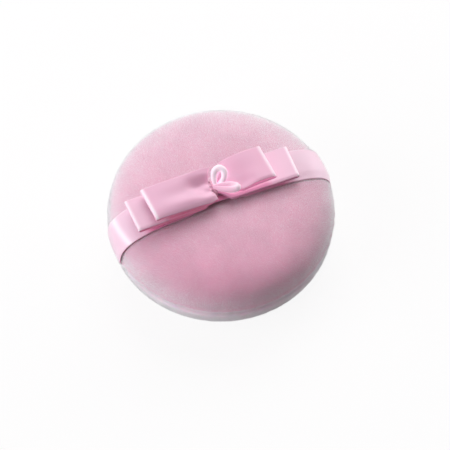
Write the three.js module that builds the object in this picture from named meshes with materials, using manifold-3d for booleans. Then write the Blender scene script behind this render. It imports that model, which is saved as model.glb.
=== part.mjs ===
// Round velour powder puff with a satin finger strap and a two tier satin bow.
// Millimetres, +Z up, +X along the strap, origin under the middle of the flat base.
import * as THREE from 'three';
import { mergeVertices } from 'three/addons/utils/BufferGeometryUtils.js';
import Module from 'manifold-3d';

const wasm = await Module();
wasm.setup();

// Fits
const FIT_GAP = 0.3;

// Puff
const PUFF_DIAMETER = 83;
const SEAM_HEIGHT = 16;
const CROWN_RISE = 18;
const CROWN_FULLNESS = 3.3;
const BASE_FULLNESS = 3.2;
const BASE_FLATTENING = 0.5;
const COVER_THICKNESS = 2.2;
const GROOVE_DEPTH = 1.5;
const GROOVE_HALF_WIDTH = 2.6;
const HEM_WIDTH = 5;
const FOAM_THICKNESS = 10;
const FOAM_EDGE_RADIUS = 2;
const SEAM_THREAD_DIAMETER = 0.6;

// Ribbon
const RIBBON_WIDTH = 13;
const RIBBON_THICKNESS = 0.4;
const LAYER_GAP = 0.2;
const STRAP_TUCK = 4;
const STRAP_PINCH_WIDTH = 8;
const STRAP_PINCH_RUN = 12;

// Bow
const KNOT_X = -3;
const TIE_THICKNESS = 0.4;
const TIE_WIDTH = 1.2;
const GATHER_LENGTH = 3;
const GATHER_BASE_WIDTH = 6.4;
const GATHER_TOP_WIDTH = 2.6;
const GATHER_CROWN = 0.3;
const ROOT_CLEARANCE = 0.4;
const ROOT_WIDTH = 5.2;
const GATHER_RUN = 4.8;
const EDGE_LIFT = 1.2;
const BELLY_PLACE = 0.6;
const LOWER_LOOP = { length: 30.8, rise: -0.3, belly: 0.6, fold: 0.6 };
const UPPER_LEFT_LOOP = { length: 24.4, rise: 2.2, belly: 1.7, fold: 0.7 };
const UPPER_RIGHT_LOOP = { length: 21, rise: 3.6, belly: 1.7, fold: 0.7 };

// Standing pleat of the right loop
const PLEAT_LENGTH = 7.2;
const PLEAT_WIDTH = 6;
const PLEAT_BAND = 2.6;
const PLEAT_SEAT = 0.05;
const PLEAT_SIDE = 0.2;
const PLEAT_TILT = THREE.MathUtils.degToRad(35);
const PLEAT_OPENING = 0.55;

// Facets
const AROUND = 48;
const RIM_STEPS = 10;
const RIM_CLOSENESS = 1.8;
const LAYER_STEPS = 9;
const FOLD_STEPS = 6;
const FOAM_EDGE_STEPS = 2;
const ACROSS = 4;
const CROWN_SAMPLES = 90;
const STRAP_STEPS = 18;
const PLEAT_STEPS = 16;

const PUFF_RADIUS = PUFF_DIAMETER / 2;
const SEAM_RADIUS = PUFF_RADIUS - GROOVE_DEPTH;
const HEM_RADIUS = SEAM_RADIUS - HEM_WIDTH;
const QUARTER = Math.PI / 2;

const VELOUR = { color: 0xe6bccd, roughness: 0.95, metalness: 0 };
const VELOUR_UNDER = { color: 0xe9c9dc, roughness: 0.95, metalness: 0 };
const SATIN = { color: 0xf0c4d8, roughness: 0.4, metalness: 0 };
const THREAD = { color: 0xe3a9c0, roughness: 0.7, metalness: 0 };
const FILLING = { color: 0xf6f2ee, roughness: 1, metalness: 0 };

const part = new THREE.Group();

function addPiece(parent, name, geometry, finish) {
  const piece = new THREE.Mesh(geometry, new THREE.MeshStandardMaterial(finish));
  piece.name = name;
  parent.add(piece);
  return piece;
}

function solidFrom(geometry) {
  const bare = geometry.clone();
  bare.deleteAttribute('normal');
  bare.deleteAttribute('uv');
  const merged = mergeVertices(bare);
  const mesh = new wasm.Mesh({
    numProp: 3,
    vertProperties: merged.attributes.position.array,
    triVerts: new Uint32Array(merged.index.array),
  });
  return new wasm.Manifold(mesh);
}

function geometryFrom(solid) {
  const mesh = solid.getMesh();
  const geometry = new THREE.BufferGeometry();
  geometry.setAttribute('position', new THREE.BufferAttribute(mesh.vertProperties, 3));
  geometry.setIndex(new THREE.BufferAttribute(mesh.triVerts, 1));
  geometry.computeVertexNormals();
  return geometry;
}

// Rounded cushion outline: a superellipse from the rim, angle 0, to the middle, a quarter turn.
function cushionPoint(radius, rise, fullness, angle) {
  const power = 2 / fullness;
  const out = Math.max(Math.cos(angle), 0) ** power;
  const up = Math.max(Math.sin(angle), 0) ** power;
  return new THREE.Vector2(radius * out, rise * up);
}

// Where a cushion outline of that radius and rise reaches a given height.
function cushionRadius(radius, rise, fullness, height) {
  return radius * (1 - (height / rise) ** fullness) ** (1 / fullness);
}

// How far the covers are drawn in towards the seam at a height above or below it.
function grooveAt(height) {
  return GROOVE_DEPTH * (1 - THREE.MathUtils.smoothstep(height, 0, GROOVE_HALF_WIDTH));
}

function crownPoint(angle) {
  const point = cushionPoint(PUFF_RADIUS, CROWN_RISE, CROWN_FULLNESS, angle);
  point.x -= grooveAt(point.y);
  return point;
}

function basePoint(angle) {
  const point = cushionPoint(PUFF_RADIUS, SEAM_HEIGHT + BASE_FLATTENING, BASE_FULLNESS, angle);
  point.x -= grooveAt(point.y);
  return point;
}

// A solid of revolution about +Z from (radius, height) points.
function turned(points) {
  const geometry = new THREE.LatheGeometry(points, AROUND);
  geometry.rotateX(QUARTER);
  return geometry;
}

// Heights of a profile measured from the seam, upwards for side 1 and downwards for side -1.
function fromSeam(points, side) {
  const placed = points.map((p) => new THREE.Vector2(p.x, SEAM_HEIGHT + side * p.y));
  return side > 0 ? placed : placed.reverse();
}

// Angles from the rim to the middle, closer together round the rim's curve.
function rimAngles(first, last) {
  const angles = [];
  for (let i = 0; i <= RIM_STEPS; i += 1) {
    angles.push(first + (last - first) * (i / RIM_STEPS) ** RIM_CLOSENESS);
  }
  return angles;
}

// The first angle whose point on an outline is at least as high as a given height.
function angleAtHeight(rise, fullness, height) {
  return Math.asin((height / rise) ** (fullness / 2));
}

// Cover shell: outer skin, the hem turned in at the seam, and the inner skin, from the middle out and back.
function coverProfile(outerPoint, rise, fullness, lastAngle) {
  const seamFace = FIT_GAP / 2;
  const hemTop = seamFace + COVER_THICKNESS;
  const innerRise = rise - COVER_THICKNESS;
  const innerRadius = PUFF_RADIUS - COVER_THICKNESS;
  const innerStart = angleAtHeight(innerRise, fullness, hemTop);
  const outerStart = angleAtHeight(rise, fullness, seamFace);
  const outer = rimAngles(outerStart, lastAngle).map(outerPoint);
  outer[0].y = seamFace;
  const inner = rimAngles(innerStart, QUARTER).map((angle) =>
    cushionPoint(innerRadius, innerRise, fullness, angle),
  );
  inner[inner.length - 1].x = 0;
  const hem = [new THREE.Vector2(HEM_RADIUS, seamFace), new THREE.Vector2(HEM_RADIUS, hemTop)];
  return { outer: outer.reverse(), hem, inner };
}

function topCover() {
  const { outer, hem, inner } = coverProfile(crownPoint, CROWN_RISE, CROWN_FULLNESS, QUARTER);
  outer[0].x = 0;
  const shell = solidFrom(turned(fromSeam([...outer, ...hem, ...inner].reverse(), 1)));
  const slotHeight = FIT_GAP + RIBBON_THICKNESS + FIT_GAP;
  const slot = new THREE.BoxGeometry(2 * PUFF_DIAMETER, RIBBON_WIDTH + 2 * FIT_GAP, 2 * slotHeight);
  slot.translate(0, 0, SEAM_HEIGHT - FIT_GAP / 2);
  return geometryFrom(shell.subtract(solidFrom(slot)));
}

function bottomCover() {
  const rise = SEAM_HEIGHT + BASE_FLATTENING;
  const flatAngle = angleAtHeight(rise, BASE_FULLNESS, SEAM_HEIGHT);
  const { outer, hem, inner } = coverProfile(basePoint, rise, BASE_FULLNESS, flatAngle);
  const middle = new THREE.Vector2(0, SEAM_HEIGHT);
  outer[0].y = SEAM_HEIGHT;
  return turned(fromSeam([middle, ...outer, ...hem, ...inner].reverse(), -1));
}

// Room inside the covers, less the fit gap, as a profile from above the hem to the middle.
function roomProfile(rise, fullness) {
  const inset = COVER_THICKNESS + FIT_GAP;
  const start = FIT_GAP / 2 + COVER_THICKNESS + FIT_GAP;
  const first = angleAtHeight(rise - inset, fullness, start);
  const points = rimAngles(first, QUARTER).map((angle) =>
    cushionPoint(PUFF_RADIUS - inset, rise - inset, fullness, angle),
  );
  points[points.length - 1].x = 0;
  return points;
}

// Wadding layer: fills one cover over the foam and round its edge down to the hem.
function wadding(rise, fullness, side) {
  const room = roomProfile(rise, fullness);
  const hemRest = room[0].y;
  const foamRest = FOAM_THICKNESS / 2 + FIT_GAP;
  const skirt = HEM_RADIUS;
  const under = [
    new THREE.Vector2(0, foamRest),
    new THREE.Vector2(skirt, foamRest),
    new THREE.Vector2(skirt, hemRest),
  ];
  return turned(fromSeam([...under, ...room], side));
}

function foamDisc() {
  const half = FOAM_THICKNESS / 2;
  const edge = FOAM_EDGE_RADIUS;
  const flat = HEM_RADIUS - FIT_GAP - edge;
  const outline = new THREE.Path();
  outline.moveTo(0, -half);
  outline.lineTo(flat, -half);
  outline.absarc(flat, edge - half, edge, -QUARTER, 0, false);
  outline.absarc(flat, half - edge, edge, 0, QUARTER, false);
  outline.lineTo(0, half);
  return turned(fromSeam(outline.getPoints(FOAM_EDGE_STEPS), 1));
}

// Thread ring in the groove, under the strap's ends and against the bottom cover.
function seamThread() {
  const radius = SEAM_THREAD_DIAMETER / 2;
  const below = FIT_GAP / 2 + radius;
  const rise = SEAM_HEIGHT + BASE_FLATTENING;
  const low = below + radius;
  const cover = cushionRadius(PUFF_RADIUS, rise, BASE_FULLNESS, low) - grooveAt(low);
  const ring = [];
  for (let i = 0; i <= FOLD_STEPS; i += 1) {
    const angle = (2 * Math.PI * i) / FOLD_STEPS;
    const out = cover + FIT_GAP + radius + radius * Math.cos(angle);
    ring.push(new THREE.Vector2(out, radius * Math.sin(angle) - below));
  }
  return turned(fromSeam(ring, 1));
}

// A closed sheet of even thickness from rows of points on its middle surface.
function thickSheet(rows, thickness) {
  const last = rows.length - 1;
  const across = rows[0].length - 1;
  const positions = [];
  const faces = [];
  const at = (side, i, j) => 2 * (i * (across + 1) + j) + side;
  const quad = (a, b, c, d) => faces.push(a, b, c, a, c, d);
  for (let i = 0; i <= last; i += 1) {
    for (let j = 0; j <= across; j += 1) {
      const ahead = rows[Math.min(i + 1, last)][j].clone().sub(rows[Math.max(i - 1, 0)][j]);
      const aside = rows[i][Math.min(j + 1, across)].clone().sub(rows[i][Math.max(j - 1, 0)]);
      const normal = ahead.cross(aside).normalize().multiplyScalar(thickness / 2);
      positions.push(...rows[i][j].clone().add(normal).toArray());
      positions.push(...rows[i][j].clone().sub(normal).toArray());
    }
  }
  for (let i = 0; i < last; i += 1) {
    for (let j = 0; j < across; j += 1) {
      quad(at(0, i, j), at(0, i + 1, j), at(0, i + 1, j + 1), at(0, i, j + 1));
      quad(at(1, i, j), at(1, i, j + 1), at(1, i + 1, j + 1), at(1, i + 1, j));
    }
    quad(at(0, i + 1, 0), at(0, i, 0), at(1, i, 0), at(1, i + 1, 0));
    quad(at(0, i, across), at(0, i + 1, across), at(1, i + 1, across), at(1, i, across));
  }
  for (let j = 0; j < across; j += 1) {
    quad(at(0, 0, j), at(0, 0, j + 1), at(1, 0, j + 1), at(1, 0, j));
    quad(at(0, last, j + 1), at(0, last, j), at(1, last, j), at(1, last, j + 1));
  }
  const geometry = new THREE.BufferGeometry();
  geometry.setAttribute('position', new THREE.Float32BufferAttribute(positions, 3));
  geometry.setIndex(faces);
  geometry.computeVertexNormals();
  return geometry;
}

// Rows across a ribbon at each point of its side view: half width and edge lift follow the distance.
function ribbonRows(path, halfWidthAt, edgeLiftAt) {
  return path.map((p) => {
    const row = [];
    for (let j = 0; j <= ACROSS; j += 1) {
      const share = (2 * j) / ACROSS - 1;
      const lift = edgeLiftAt(p.x) * Math.abs(share);
      row.push(new THREE.Vector3(p.x, share * halfWidthAt(p.x), p.y + lift));
    }
    return row;
  });
}

// Heights of the stack on the crown at the knot
const CROWN_AT_KNOT =
  SEAM_HEIGHT + CROWN_RISE * (1 - (Math.abs(KNOT_X) / PUFF_RADIUS) ** CROWN_FULLNESS) ** (1 / CROWN_FULLNESS);
const TIE_REST = CROWN_AT_KNOT + FIT_GAP;
const STRAP_UNDER = TIE_REST + TIE_THICKNESS + FIT_GAP;
const STRAP_TOP = STRAP_UNDER + RIBBON_THICKNESS;
const LAYER_SPREAD = RIBBON_THICKNESS + LAYER_GAP;
const TIER_THICKNESS = LAYER_SPREAD + RIBBON_THICKNESS;
const LOWER_ROOT = STRAP_TOP + FIT_GAP + TIER_THICKNESS / 2;
const UPPER_ROOT = LOWER_ROOT + TIER_THICKNESS + FIT_GAP;
const GATHER_TOP = UPPER_ROOT + TIER_THICKNESS / 2 + GATHER_CROWN;
const ROOT_START = GATHER_LENGTH / 2 + ROOT_CLEARANCE;

// 1 under the gathered middle, easing to 0 at a distance along the strap.
function nearKnot(x, run) {
  return 1 - THREE.MathUtils.smoothstep(Math.abs(x - KNOT_X), GATHER_LENGTH, run);
}

// Points evenly spaced along the strap's middle surface where it lies on the crown between two angles.
function strapOver(first, last, steps) {
  const stand = FIT_GAP + RIBBON_THICKNESS / 2;
  const step = (last - first) / CROWN_SAMPLES;
  const over = [];
  for (let i = 0; i <= CROWN_SAMPLES; i += 1) {
    const angle = first + step * i;
    const tangent = crownPoint(angle + step / 2).sub(crownPoint(angle - step / 2)).normalize();
    const here = crownPoint(angle);
    over.push(new THREE.Vector2(here.x + tangent.y * stand, SEAM_HEIGHT + here.y - tangent.x * stand));
  }
  return new THREE.Path(over).getSpacedPoints(steps);
}

// Side view of half of the strap, from its tucked end out of the seam and up to the middle of the crown.
function strapHalfPath() {
  const seamLine = SEAM_HEIGHT + FIT_GAP / 2 + RIBBON_THICKNESS / 2;
  const first = angleAtHeight(CROWN_RISE, CROWN_FULLNESS, GROOVE_HALF_WIDTH / 2);
  const shoulder = angleAtHeight(CROWN_RISE, CROWN_FULLNESS, 2 * GROOVE_HALF_WIDTH);
  const rim = strapOver(first, shoulder, RIM_STEPS / 2);
  const crown = strapOver(shoulder, QUARTER, STRAP_STEPS);
  crown[STRAP_STEPS].x = 0;
  const lean = rim[1].clone().sub(rim[0]);
  const bend = new THREE.Vector2(rim[0].x - (lean.x / lean.y) * (rim[0].y - seamLine), seamLine);
  const tucked = new THREE.Vector2(SEAM_RADIUS - STRAP_TUCK, seamLine);
  const leaving = new THREE.Vector2(SEAM_RADIUS, seamLine);
  const turn = new THREE.QuadraticBezierCurve(leaving, bend, rim[0]).getPoints(FOLD_STEPS / 2);
  return [tucked, ...turn, ...rim.slice(1), ...crown.slice(1)];
}

function fingerStrap() {
  const right = strapHalfPath();
  const left = right.slice(0, -1).map((p) => new THREE.Vector2(-p.x, p.y));
  const path = [...left, ...right.reverse()];
  for (const p of path) {
    p.y += (TIE_THICKNESS + FIT_GAP) * nearKnot(p.x, STRAP_PINCH_RUN);
  }
  const pinch = (RIBBON_WIDTH - STRAP_PINCH_WIDTH) / 2;
  const halfWidth = (x) => RIBBON_WIDTH / 2 - pinch * nearKnot(x, STRAP_PINCH_RUN);
  return thickSheet(ribbonRows(path, halfWidth, () => 0), RIBBON_THICKNESS);
}

// Length of a loop's layers, from the root to the middle of the end fold.
function loopRun(loop) {
  return loop.length - loop.fold - RIBBON_THICKNESS / 2 - ROOT_START;
}

// Side view of a loop's upper layer, side 1, or under layer, side -1, at a share of its run.
function layerPoint(loop, rootHeight, share, side) {
  const middle = rootHeight + loop.rise * (1 - (1 - share) ** 2);
  const swell = side > 0 ? loop.belly * Math.sin(Math.PI * share ** BELLY_PLACE) : 0;
  const spread = THREE.MathUtils.lerp(LAYER_SPREAD / 2, loop.fold, share) + swell;
  return new THREE.Vector2(ROOT_START + loopRun(loop) * share, middle + side * spread);
}

// Side view of one bow loop: out along its under layer, round the end fold and back along its upper layer.
function loopPath(loop, rootHeight) {
  const path = [];
  for (let i = 0; i <= LAYER_STEPS; i += 1) {
    path.push(layerPoint(loop, rootHeight, i / LAYER_STEPS, -1));
  }
  for (let i = 1; i < FOLD_STEPS; i += 1) {
    const angle = -QUARTER + (2 * QUARTER * i) / FOLD_STEPS;
    const out = ROOT_START + loopRun(loop) + loop.fold * Math.cos(angle);
    path.push(new THREE.Vector2(out, rootHeight + loop.rise + loop.fold * Math.sin(angle)));
  }
  for (let i = LAYER_STEPS; i >= 0; i -= 1) {
    path.push(layerPoint(loop, rootHeight, i / LAYER_STEPS, 1));
  }
  return path;
}

// One bow loop along +X or -X from the knot, gathered to its root with both edges lifted there.
function bowLoop(loop, rootHeight, side) {
  const opened = (x) => THREE.MathUtils.smoothstep(Math.abs(x) - ROOT_START, 0, GATHER_RUN);
  const halfWidth = (x) => THREE.MathUtils.lerp(ROOT_WIDTH, RIBBON_WIDTH, opened(x)) / 2;
  const edgeLift = (x) => EDGE_LIFT * (1 - opened(x));
  const path = loopPath(loop, rootHeight).map((p) => new THREE.Vector2(side * p.x, p.y));
  return thickSheet(ribbonRows(path, halfWidth, edgeLift), RIBBON_THICKNESS);
}

// Small teardrop of doubled ribbon that stands on the right loop beside the pinch.
function standingPleat() {
  const out = new THREE.Vector3(0, Math.cos(PLEAT_TILT), Math.sin(PLEAT_TILT));
  const aside = new THREE.Vector3(1, 0, 0);
  const band = new THREE.Vector3().crossVectors(aside, out);
  const seat = layerPoint(UPPER_RIGHT_LOOP, UPPER_ROOT, PLEAT_SEAT, 1);
  const root = new THREE.Vector3(seat.x, PLEAT_SIDE, seat.y);
  const rows = [];
  for (let i = 0; i <= PLEAT_STEPS; i += 1) {
    const angle = PLEAT_OPENING + (2 * (Math.PI - PLEAT_OPENING) * i) / PLEAT_STEPS;
    const along = (PLEAT_LENGTH * (1 - Math.cos(angle))) / 2;
    const wide = (PLEAT_WIDTH / 2) * Math.sin(angle) * Math.sin(angle / 2);
    const middle = root.clone().addScaledVector(out, along).addScaledVector(aside, wide);
    rows.push([middle, middle.clone().addScaledVector(band, PLEAT_BAND)]);
  }
  return thickSheet(rows, RIBBON_THICKNESS);
}

// Section across the bow with upright sides to a shoulder, narrowing from there to its top.
function taperedSection(baseWidth, topWidth, under, shoulder, top) {
  const shape = new THREE.Shape();
  shape.moveTo(-baseWidth / 2, under);
  shape.lineTo(baseWidth / 2, under);
  shape.lineTo(baseWidth / 2, shoulder);
  shape.lineTo(topWidth / 2, top);
  shape.lineTo(-topWidth / 2, top);
  shape.lineTo(-baseWidth / 2, shoulder);
  shape.closePath();
  return shape;
}

function alongBow(shape, length) {
  const geometry = new THREE.ExtrudeGeometry(shape, { depth: length, bevelEnabled: false });
  geometry.translate(0, 0, -length / 2);
  geometry.rotateX(QUARTER);
  geometry.rotateZ(QUARTER);
  return geometry;
}

function gatheredMiddle() {
  const under = STRAP_TOP + FIT_GAP;
  const shape = taperedSection(GATHER_BASE_WIDTH, GATHER_TOP_WIDTH, under, LOWER_ROOT, GATHER_TOP);
  return alongBow(shape, GATHER_LENGTH);
}

// Thread band round the strap and the gathered middle.
function tieThread() {
  const innerBase = STRAP_PINCH_WIDTH + 2 * FIT_GAP;
  const innerTop = GATHER_TOP_WIDTH + 2 * FIT_GAP;
  const wall = TIE_THICKNESS;
  const inside = TIE_REST + wall;
  const shoulder = LOWER_ROOT + FIT_GAP;
  const top = GATHER_TOP + FIT_GAP;
  const band = taperedSection(innerBase + 2 * wall, innerTop + 2 * wall, TIE_REST, shoulder, top + wall);
  band.holes.push(taperedSection(innerBase, innerTop, inside, shoulder, top));
  return alongBow(band, TIE_WIDTH);
}

addPiece(part, 'top_cover', topCover(), VELOUR);
addPiece(part, 'bottom_cover', bottomCover(), VELOUR_UNDER);
addPiece(part, 'foam_disc', foamDisc(), FILLING);
addPiece(part, 'upper_wadding', wadding(CROWN_RISE, CROWN_FULLNESS, 1), FILLING);
addPiece(part, 'lower_wadding', wadding(SEAM_HEIGHT + BASE_FLATTENING, BASE_FULLNESS, -1), FILLING);
addPiece(part, 'seam_thread', seamThread(), THREAD);
addPiece(part, 'finger_strap', fingerStrap(), SATIN);

const bow = new THREE.Group();
bow.position.x = KNOT_X;
part.add(bow);
addPiece(bow, 'gathered_middle', gatheredMiddle(), SATIN);
addPiece(bow, 'tie_thread', tieThread(), THREAD);
addPiece(bow, 'lower_left_loop', bowLoop(LOWER_LOOP, LOWER_ROOT, -1), SATIN);
addPiece(bow, 'lower_right_loop', bowLoop(LOWER_LOOP, LOWER_ROOT, 1), SATIN);
addPiece(bow, 'upper_left_loop', bowLoop(UPPER_LEFT_LOOP, UPPER_ROOT, -1), SATIN);
const rightLoop = solidFrom(bowLoop(UPPER_RIGHT_LOOP, UPPER_ROOT, 1)).add(solidFrom(standingPleat()));
addPiece(bow, 'upper_right_loop', geometryFrom(rightLoop), SATIN);

export default part;
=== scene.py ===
"""Soft round powder puff with a satin finger strap and a two tier satin bow."""

import math
from dataclasses import dataclass

import bmesh
import bpy
import numpy as np
from bpy.props import FloatProperty, FloatVectorProperty, IntProperty, PointerProperty
from mathutils import Matrix, Vector


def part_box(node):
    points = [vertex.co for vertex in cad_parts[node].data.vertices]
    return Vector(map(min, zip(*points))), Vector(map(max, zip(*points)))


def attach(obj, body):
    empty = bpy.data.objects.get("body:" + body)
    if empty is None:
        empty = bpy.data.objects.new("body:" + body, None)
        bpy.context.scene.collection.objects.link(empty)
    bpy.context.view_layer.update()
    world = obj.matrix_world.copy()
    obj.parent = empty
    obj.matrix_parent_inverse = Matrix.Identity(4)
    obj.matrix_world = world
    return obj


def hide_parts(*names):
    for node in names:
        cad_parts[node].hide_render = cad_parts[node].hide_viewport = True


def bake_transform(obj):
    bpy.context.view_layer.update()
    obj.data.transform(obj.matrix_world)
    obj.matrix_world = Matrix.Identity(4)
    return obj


bl_info = {
    "name": "Powder Puff",
    "version": (1, 0, 0),
    "blender": (4, 5, 0),
    "location": "View3D > Sidebar > Powder Puff",
    "description": "Builds a velour powder puff with a satin strap and bow round its packed frame",
    "category": "Object",
}

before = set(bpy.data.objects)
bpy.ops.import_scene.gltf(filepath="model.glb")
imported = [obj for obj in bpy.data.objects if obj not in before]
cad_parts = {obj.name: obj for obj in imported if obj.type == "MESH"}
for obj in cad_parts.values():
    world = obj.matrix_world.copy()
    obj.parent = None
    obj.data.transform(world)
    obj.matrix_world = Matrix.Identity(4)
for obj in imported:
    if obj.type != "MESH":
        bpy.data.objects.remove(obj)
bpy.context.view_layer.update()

# Places taken from the frame
MM = 0.001
STRAP_LOW, STRAP_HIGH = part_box("finger_strap")
TIE_LOW, TIE_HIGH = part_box("tie_thread")
GATHER_LOW, GATHER_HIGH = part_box("gathered_middle")
RIBBON_WIDTH = STRAP_HIGH.y - STRAP_LOW.y
SEAM_ABOVE_THREAD = 0.15 * MM
SEAM_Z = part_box("seam_thread")[1].z + SEAM_ABOVE_THREAD
CROWN_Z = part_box("top_cover")[1].z
KNOT_X = (TIE_LOW.x + TIE_HIGH.x) / 2

# Names and limits that several pieces share
RIBBON_LAY = "RibbonLay"
TINY = 1e-9
# Waves of pleats across the ribbon where it is gathered
RIBBON_PLEATS = 3


def share_between(value, low, high):
    """0 below low, 1 above high, easing smoothly between them."""
    t = np.clip((np.asarray(value, float) - low) / (high - low), 0.0, 1.0)
    return t * t * (3.0 - 2.0 * t)


def bell(value, middle, width):
    """A soft bump of height 1 at middle."""
    return np.exp(-(((np.asarray(value, float) - middle) / width) ** 2))


# Settings that a user may change
def number_setting(name, description, default):
    """A plain number."""
    return FloatProperty(name=name, description=description, default=default)


def length_setting(name, description, default):
    """A length, shown in the scene's unit."""
    return FloatProperty(name=name, description=description, default=default, unit="LENGTH")


def colour_setting(name, description, default):
    """A colour of three channels."""
    return FloatVectorProperty(
        name=name, description=description, default=default, subtype="COLOR", size=3, min=0, max=1
    )


class PuffSizes(bpy.types.PropertyGroup):
    """Sizes of the padded covers and their pile"""

    diameter: length_setting("Diameter", "Width of the puff across its fullest part", 83 * MM)
    crown_fullness: number_setting(
        "Crown fullness", "How square the crown's outline is, 2 being an ellipse", 3.3
    )
    base_fullness: number_setting(
        "Base fullness", "How square the base's outline is, 2 being an ellipse", 3.2
    )
    base_flattening: length_setting(
        "Base flattening", "Depth by which the base is pressed flat where it rests", 0.5 * MM
    )
    groove_depth: length_setting(
        "Seam groove depth", "How far the closing seam draws the covers in", 2.1 * MM
    )
    groove_half_width: length_setting(
        "Seam groove half width", "Height of the drawn in part above and below the seam", 2.3 * MM
    )
    pucker: length_setting("Seam pucker", "Height of the small gathers along the seam", 0.16 * MM)
    ridge: length_setting("Seam ridge", "Height of the roll that the hem makes above the seam", 0.45 * MM)
    softness: FloatProperty(
        name="Softness",
        description="Share of the simulated swelling that is kept",
        default=0.3,
        subtype="FACTOR",
        min=0,
        max=1,
    )
    pile_length: length_setting("Pile length", "Length of one tuft of the velour", 0.6 * MM)
    pile_width: length_setting("Tuft width", "Width of one tuft at its foot", 0.13 * MM)
    pile_density: number_setting("Tufts per square metre", "How close together the tufts stand", 26.0e6)
    pile_lean: number_setting("Nap lean", "How far the pile leans in brushed patches", 0.3)
    stitches: IntProperty(
        name="Seam stitches", description="Stitches round the closing seam", default=112
    )


class RibbonSizes(bpy.types.PropertyGroup):
    """Sizes of the satin ribbon, the strap and the bow"""

    width: length_setting("Ribbon width", "Width of the satin ribbon", RIBBON_WIDTH)
    thickness: length_setting("Ribbon thickness", "Thickness of the satin ribbon", 0.26 * MM)
    strap_stand: length_setting("Strap stand", "Height of the strap's middle above the crown", 0.5 * MM)
    strap_tuck: length_setting("Strap tuck", "Length of the strap's ends sewn into the seam", 4 * MM)
    pinch_width: length_setting("Strap pinch width", "Width of the strap under the bow's tie", 10.4 * MM)
    thread: length_setting("Thread thickness", "Diameter of the seam and tie threads", 0.3 * MM)


class PuffFinishes(bpy.types.PropertyGroup):
    """Colours of the cloth, ribbon and threads"""

    # The pile's colour, deepened at the tufts' roots as painted shade inside the pile, and the tips' paler
    # colour, a painted sheen
    velour: colour_setting("Velour", "Colour of the top cover's pile", (0.76, 0.37, 0.51))
    velour_tip_sheen: colour_setting("Pile tips", "Colour of the pile's paler tips", (1.0, 0.92, 0.975))
    velour_under: colour_setting("Base velour", "Colour of the bottom cover's pile", (1.0, 0.79, 0.89))
    satin: colour_setting("Satin", "Colour of the bow's ribbon", (0.77, 0.43, 0.58))
    # The strap's colour is the satin made paler, a painted light for the sheen and light on the strap's
    # ends
    strap: colour_setting("Strap satin", "Colour of the strap, paler than the bow", (0.80, 0.55, 0.67))
    thread: colour_setting("Thread", "Colour of the seam and tie threads", (0.86, 0.50, 0.63))
    filling: colour_setting("Filling", "Colour of the foam and wadding", (0.90, 0.87, 0.82))


def settings_of(context):
    """The scene's sizes, ribbon sizes and finishes."""
    scene = context.scene
    return scene.puff_sizes, scene.puff_ribbon, scene.puff_finishes


# Node trees

# Numbers of the sockets for colours on a Mix node and for numbers on a Random Value node
MIX_FACTOR, MIX_FIRST, MIX_SECOND, MIX_RESULT = 0, 6, 7, 2
RANDOM_LOW, RANDOM_HIGH, RANDOM_RESULT = 2, 3, 1


def set_inputs(tree, node, inputs):
    """Links each input to a socket or gives it a plain value."""
    for key, value in inputs.items():
        if isinstance(value, bpy.types.NodeSocket):
            tree.links.new(value, node.inputs[key])
        else:
            node.inputs[key].default_value = value


def add_node(tree, kind, settings=None, inputs=None):
    """A node with its settings and inputs."""
    node = tree.nodes.new(kind)
    for key, value in (settings or {}).items():
        setattr(node, key, value)
    set_inputs(tree, node, inputs or {})
    return node


def arithmetic(tree, operation, *values):
    """The result of an operation on numbers, as a socket."""
    return add_node(tree, "ShaderNodeMath", {"operation": operation}, dict(enumerate(values))).outputs[0]


def vector_arithmetic(tree, operation, *values):
    """The result of an operation on vectors, as a socket."""
    inputs = dict(enumerate(values))
    return add_node(tree, "ShaderNodeVectorMath", {"operation": operation}, inputs).outputs[0]


def part_of(tree, vector, axis):
    """One part of a vector, X, Y or Z."""
    return add_node(tree, "ShaderNodeSeparateXYZ", inputs={"Vector": vector}).outputs[axis]


def mapped(tree, value, start, end, low=0.0, high=1.0):
    """A value carried from the range start to end into the range low to high."""
    inputs = {"Value": value, "From Min": start, "From Max": end, "To Min": low, "To Max": high}
    return add_node(tree, "ShaderNodeMapRange", inputs=inputs).outputs[0]


def noise(tree, place, scale, detail=2.0, roughness=0.5):
    """Outputs of a cloudy noise at a place."""
    inputs = {"Vector": place, "Scale": scale, "Detail": detail, "Roughness": roughness}
    return add_node(tree, "ShaderNodeTexNoise", inputs=inputs).outputs


def mixed_colour(tree, factor, first, second, blend="MIX"):
    """A second colour laid over a first one by a factor."""
    first, second = (
        colour if isinstance(colour, bpy.types.NodeSocket) else (*colour, 1.0) for colour in (first, second)
    )
    settings = {"data_type": "RGBA", "blend_type": blend}
    inputs = {MIX_FACTOR: factor, MIX_FIRST: first, MIX_SECOND: second}
    return add_node(tree, "ShaderNodeMix", settings, inputs).outputs[MIX_RESULT]


# Materials

# Brushed patches of the pile in each metre, and the noise at which a patch starts and is full
BRUSHED_PATCHES = 85.0
PATCH_EDGES = (0.36, 0.64)
# Brightness of the darkest and the lightest tuft
TUFT_SHADES = (0.95, 1.05)
# Painted shade in the seam's groove and a painted highlight on the rolled hem above it: brightness of the
# velour at shares of the height from below the seam to above it
GROOVE_REACH = 4.0 * MM
PAINTED_GROOVE_TONES = ((0.2, 1.0), (0.38, 0.78), (0.56, 0.74), (0.68, 1.08), (0.8, 1.08))
# How the long floats of the satin are drawn out along the ribbon
FLOAT_STRETCH = (0.05, 1.0, 1.0)
# Painted shade on the ribbon's edge, a painted highlight on its folds, and painted shade where another
# layer covers it, less deep on the left, where the loop above casts a real shadow
EDGE_SHADE_WIDTH = 0.08 * MM
EDGE_SHADE_TINT = (1.0, 0.62, 0.75)
HIGHLIGHT_COLOUR = (1.0, 0.88, 0.95)
SHADE_TINT_LEFT = (1.3, 0.7, 0.9)
SHADE_TINT_RIGHT = (0.92, 0.58, 0.76)
SHADE_TINT_STRAP = (1.02, 0.46, 0.7)


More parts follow.
